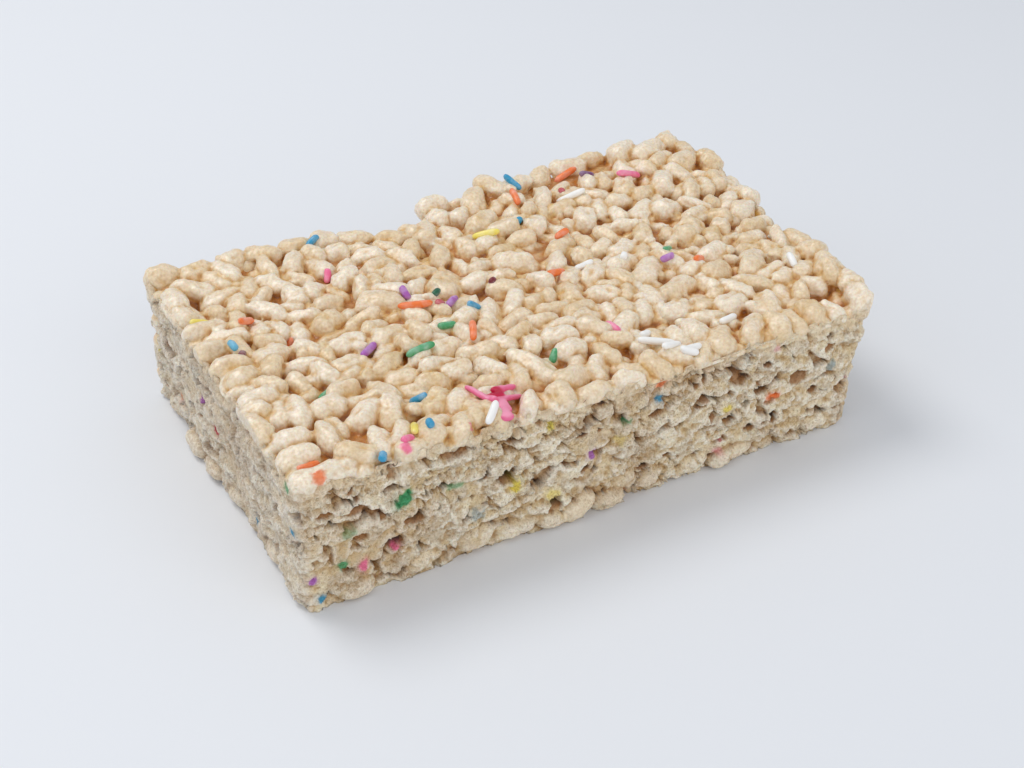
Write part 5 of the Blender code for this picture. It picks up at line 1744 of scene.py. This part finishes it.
def meltedMesh(tree, skin, shapes):
    # Strands that ran together into a soft blob. It is crimson at its thick core and, as painted shade,
    # in its folds, and faces that look up get a painted highlight
    items = [laidStrand(skin, x, y, heading, length, melted["sunk"], number)
             for number, (x, y, heading, length) in enumerate(melted["strands"])]
    wide, high = (strand["radius"] * share for share in melted["flattened"])
    for item in items:
        item["size"] = (item["size"][0], wide, high)
    for x, y, heading, half, wide in melted["pools"]:
        turn = math.radians(heading)
        stepX, stepY = half * 0.8 * math.cos(turn), half * 0.8 * math.sin(turn)
        shares = (-1.0, -0.5, 0.0, 0.5, 1.0)
        levels = sorted(skinBelow(skin, x + stepX * share, y + stepY * share) for share in shares)
        highest = sum(levels[2:]) / 3
        items.append({"place": (x, y, highest - melted["poolSunk"]), "turn": (0.0, 0.0, turn),
                      "size": (half, wide, melted["poolHeight"]), "variant": 0})
    finish = sprinkleMaterial("meltedSugar")
    mesh = remeshed([scatter("meltedSprinkles", tree, shapes, items, finish, 2, 0.0)], melted["voxel"])
    ends = edgeEnds(mesh)
    places = readPlaces(mesh)
    for _ in range(melted["softened"]):
        places = places + (neighbourMean(places, ends) - places) * 0.5
    writePlaces(mesh, places + readNormals(mesh) * layeredNoise(places, 0.8, 18, 2)[:, None] * 0.08)
    depth = layeredNoise(places, 0.5, 19, 2) * 0.4 - cavityDepth(mesh, 12) * 2.5
    coreX, coreY, reach = melted["core"]
    away = np.hypot(places[:, 0] - coreX, places[:, 1] - coreY)
    # Crimson near the core is the sugar's own colour, crimson in the folds is painted shade
    share = np.maximum(smoothStep(reach - away + depth * 0.6, 0.0, 0.8), smoothStep(depth, 0.1, 0.8) * 0.6)
    colours = np.tile(linear(*sprinkleColours["pink"]), (len(places), 1))
    colours = blendColour(colours, linear(*sprinkleColours["crimson"]), share)
    # Faces that look up are lightened: a painted highlight
    raised = smoothStep(readNormals(mesh)[:, 2] + depth * 0.6, 0.35, 0.95) * (1.0 - share)
    setColour(mesh, "tint", blendColour(colours, linear(*melted["paintedShine"]), raised * 0.75))
    mesh.materials.clear()
    mesh.materials.append(finish)
    mesh.name = "meltedSprinkles"
    mesh.shade_smooth()
    return mesh


def buildStrands(tree, skin):
    shapes = shapeCollection("strandShapes", [strandShape(number) for number in range(strand["shapes"])])
    byColour = {}
    for number, (colour, x, y, heading, length, sunk) in enumerate(topStrands):
        byColour.setdefault(colour, []).append(laidStrand(skin, x, y, heading, length, sunk, number))
    pieces = []
    for colour, items in byColour.items():
        finish = sprinkleMaterial(colour + "Sugar", sprinkleColours[colour])
        mesh = scatter(colour + "Sprinkles", tree, shapes, items, finish, 2, 0.03)
        mesh.name = colour + "Sprinkles"
        mesh.shade_smooth()
        pieces.append(mesh)
    pieces.append(meltedMesh(tree, skin, shapes))
    removeCollection(shapes)
    return pieces


studio = {
    "floorSize": 1.5, "floorColour": (232, 234, 238), "floorRoughness": 0.6,
    "world": (0.90, 0.94, 1.0), "worldStrength": 0.59, "aim": (0.0, 0.0, 0.01),
    # Name, place, width, power and colour of each light
    "lights": (
        ("window", (-0.22, 0.34, 0.66), 0.42, 2.15, (1.0, 0.985, 0.96)),
        ("fill", (0.10, -0.72, 0.34), 0.8, 1.8, (1.0, 0.985, 0.955)),
        ("sky", (-0.75, 0.05, 0.35), 0.8, 0.8, (0.82, 0.90, 1.0)),
    ),
}


def addFloor():
    shape = bmesh.new()
    bmesh.ops.create_grid(shape, x_segments=8, y_segments=8, size=studio["floorSize"])
    floor = newObject("paleFloor", meshFromShape("paleFloor", shape))
    colour = (*linear(*studio["floorColour"]), 1.0)
    material = newMaterial("paleFloor", {"Base Color": colour, "Roughness": studio["floorRoughness"]})[0]
    floor.data.materials.append(material)


def areaLight(name, place, size, power, colour):
    data = bpy.data.lights.new(name, "AREA")
    data.shape = "DISK"
    data.size = size
    data.energy = power
    data.color = colour
    light = bpy.data.objects.new(name, data)
    bpy.context.scene.collection.objects.link(light)
    light.location = place
    light.rotation_euler = (Vector(studio["aim"]) - Vector(place)).to_track_quat("-Z", "Y").to_euler()


def addLight():
    world = bpy.data.worlds.new("studio")
    bpy.context.scene.world = world
    world.use_nodes = True
    background = world.node_tree.nodes["Background"]
    setInputs(background, {"Color": (*studio["world"], 1.0), "Strength": studio["worldStrength"]})
    for light in studio["lights"]:
        areaLight(*light)
    bpy.context.scene.view_settings.view_transform = "Standard"


def buildTreat():
    tree = scatterTree()
    rice, crumb = riceMaterial(), crumbMaterial()
    shapes = shapeCollection("grainShapes", [grainShape(number) for number in range(grain["shapes"])])
    stretches = buildTop(tree, shapes, rice)
    skin = skinTree(stretches)
    strands = buildStrands(tree, skin)
    print("sprinkles laid")
    edge = buildPanEdge(tree, shapes, rice)
    removeCollection(shapes)
    wall = wallMesh(crumb, skin)
    base = undersideMesh(rice)
    finished = [(mesh, "rice") for mesh in stretches + [edge]] + [(wall, "crumb"), (base, "rice")]
    finished += [(mesh, "sprinkles") for mesh in strands]
    for mesh, slot in finished:
        toFrame(mesh)
        finishPiece(newObject(mesh.name, mesh))
    bpy.data.node_groups.remove(tree)


buildTreat()
addFloor()
addLight()
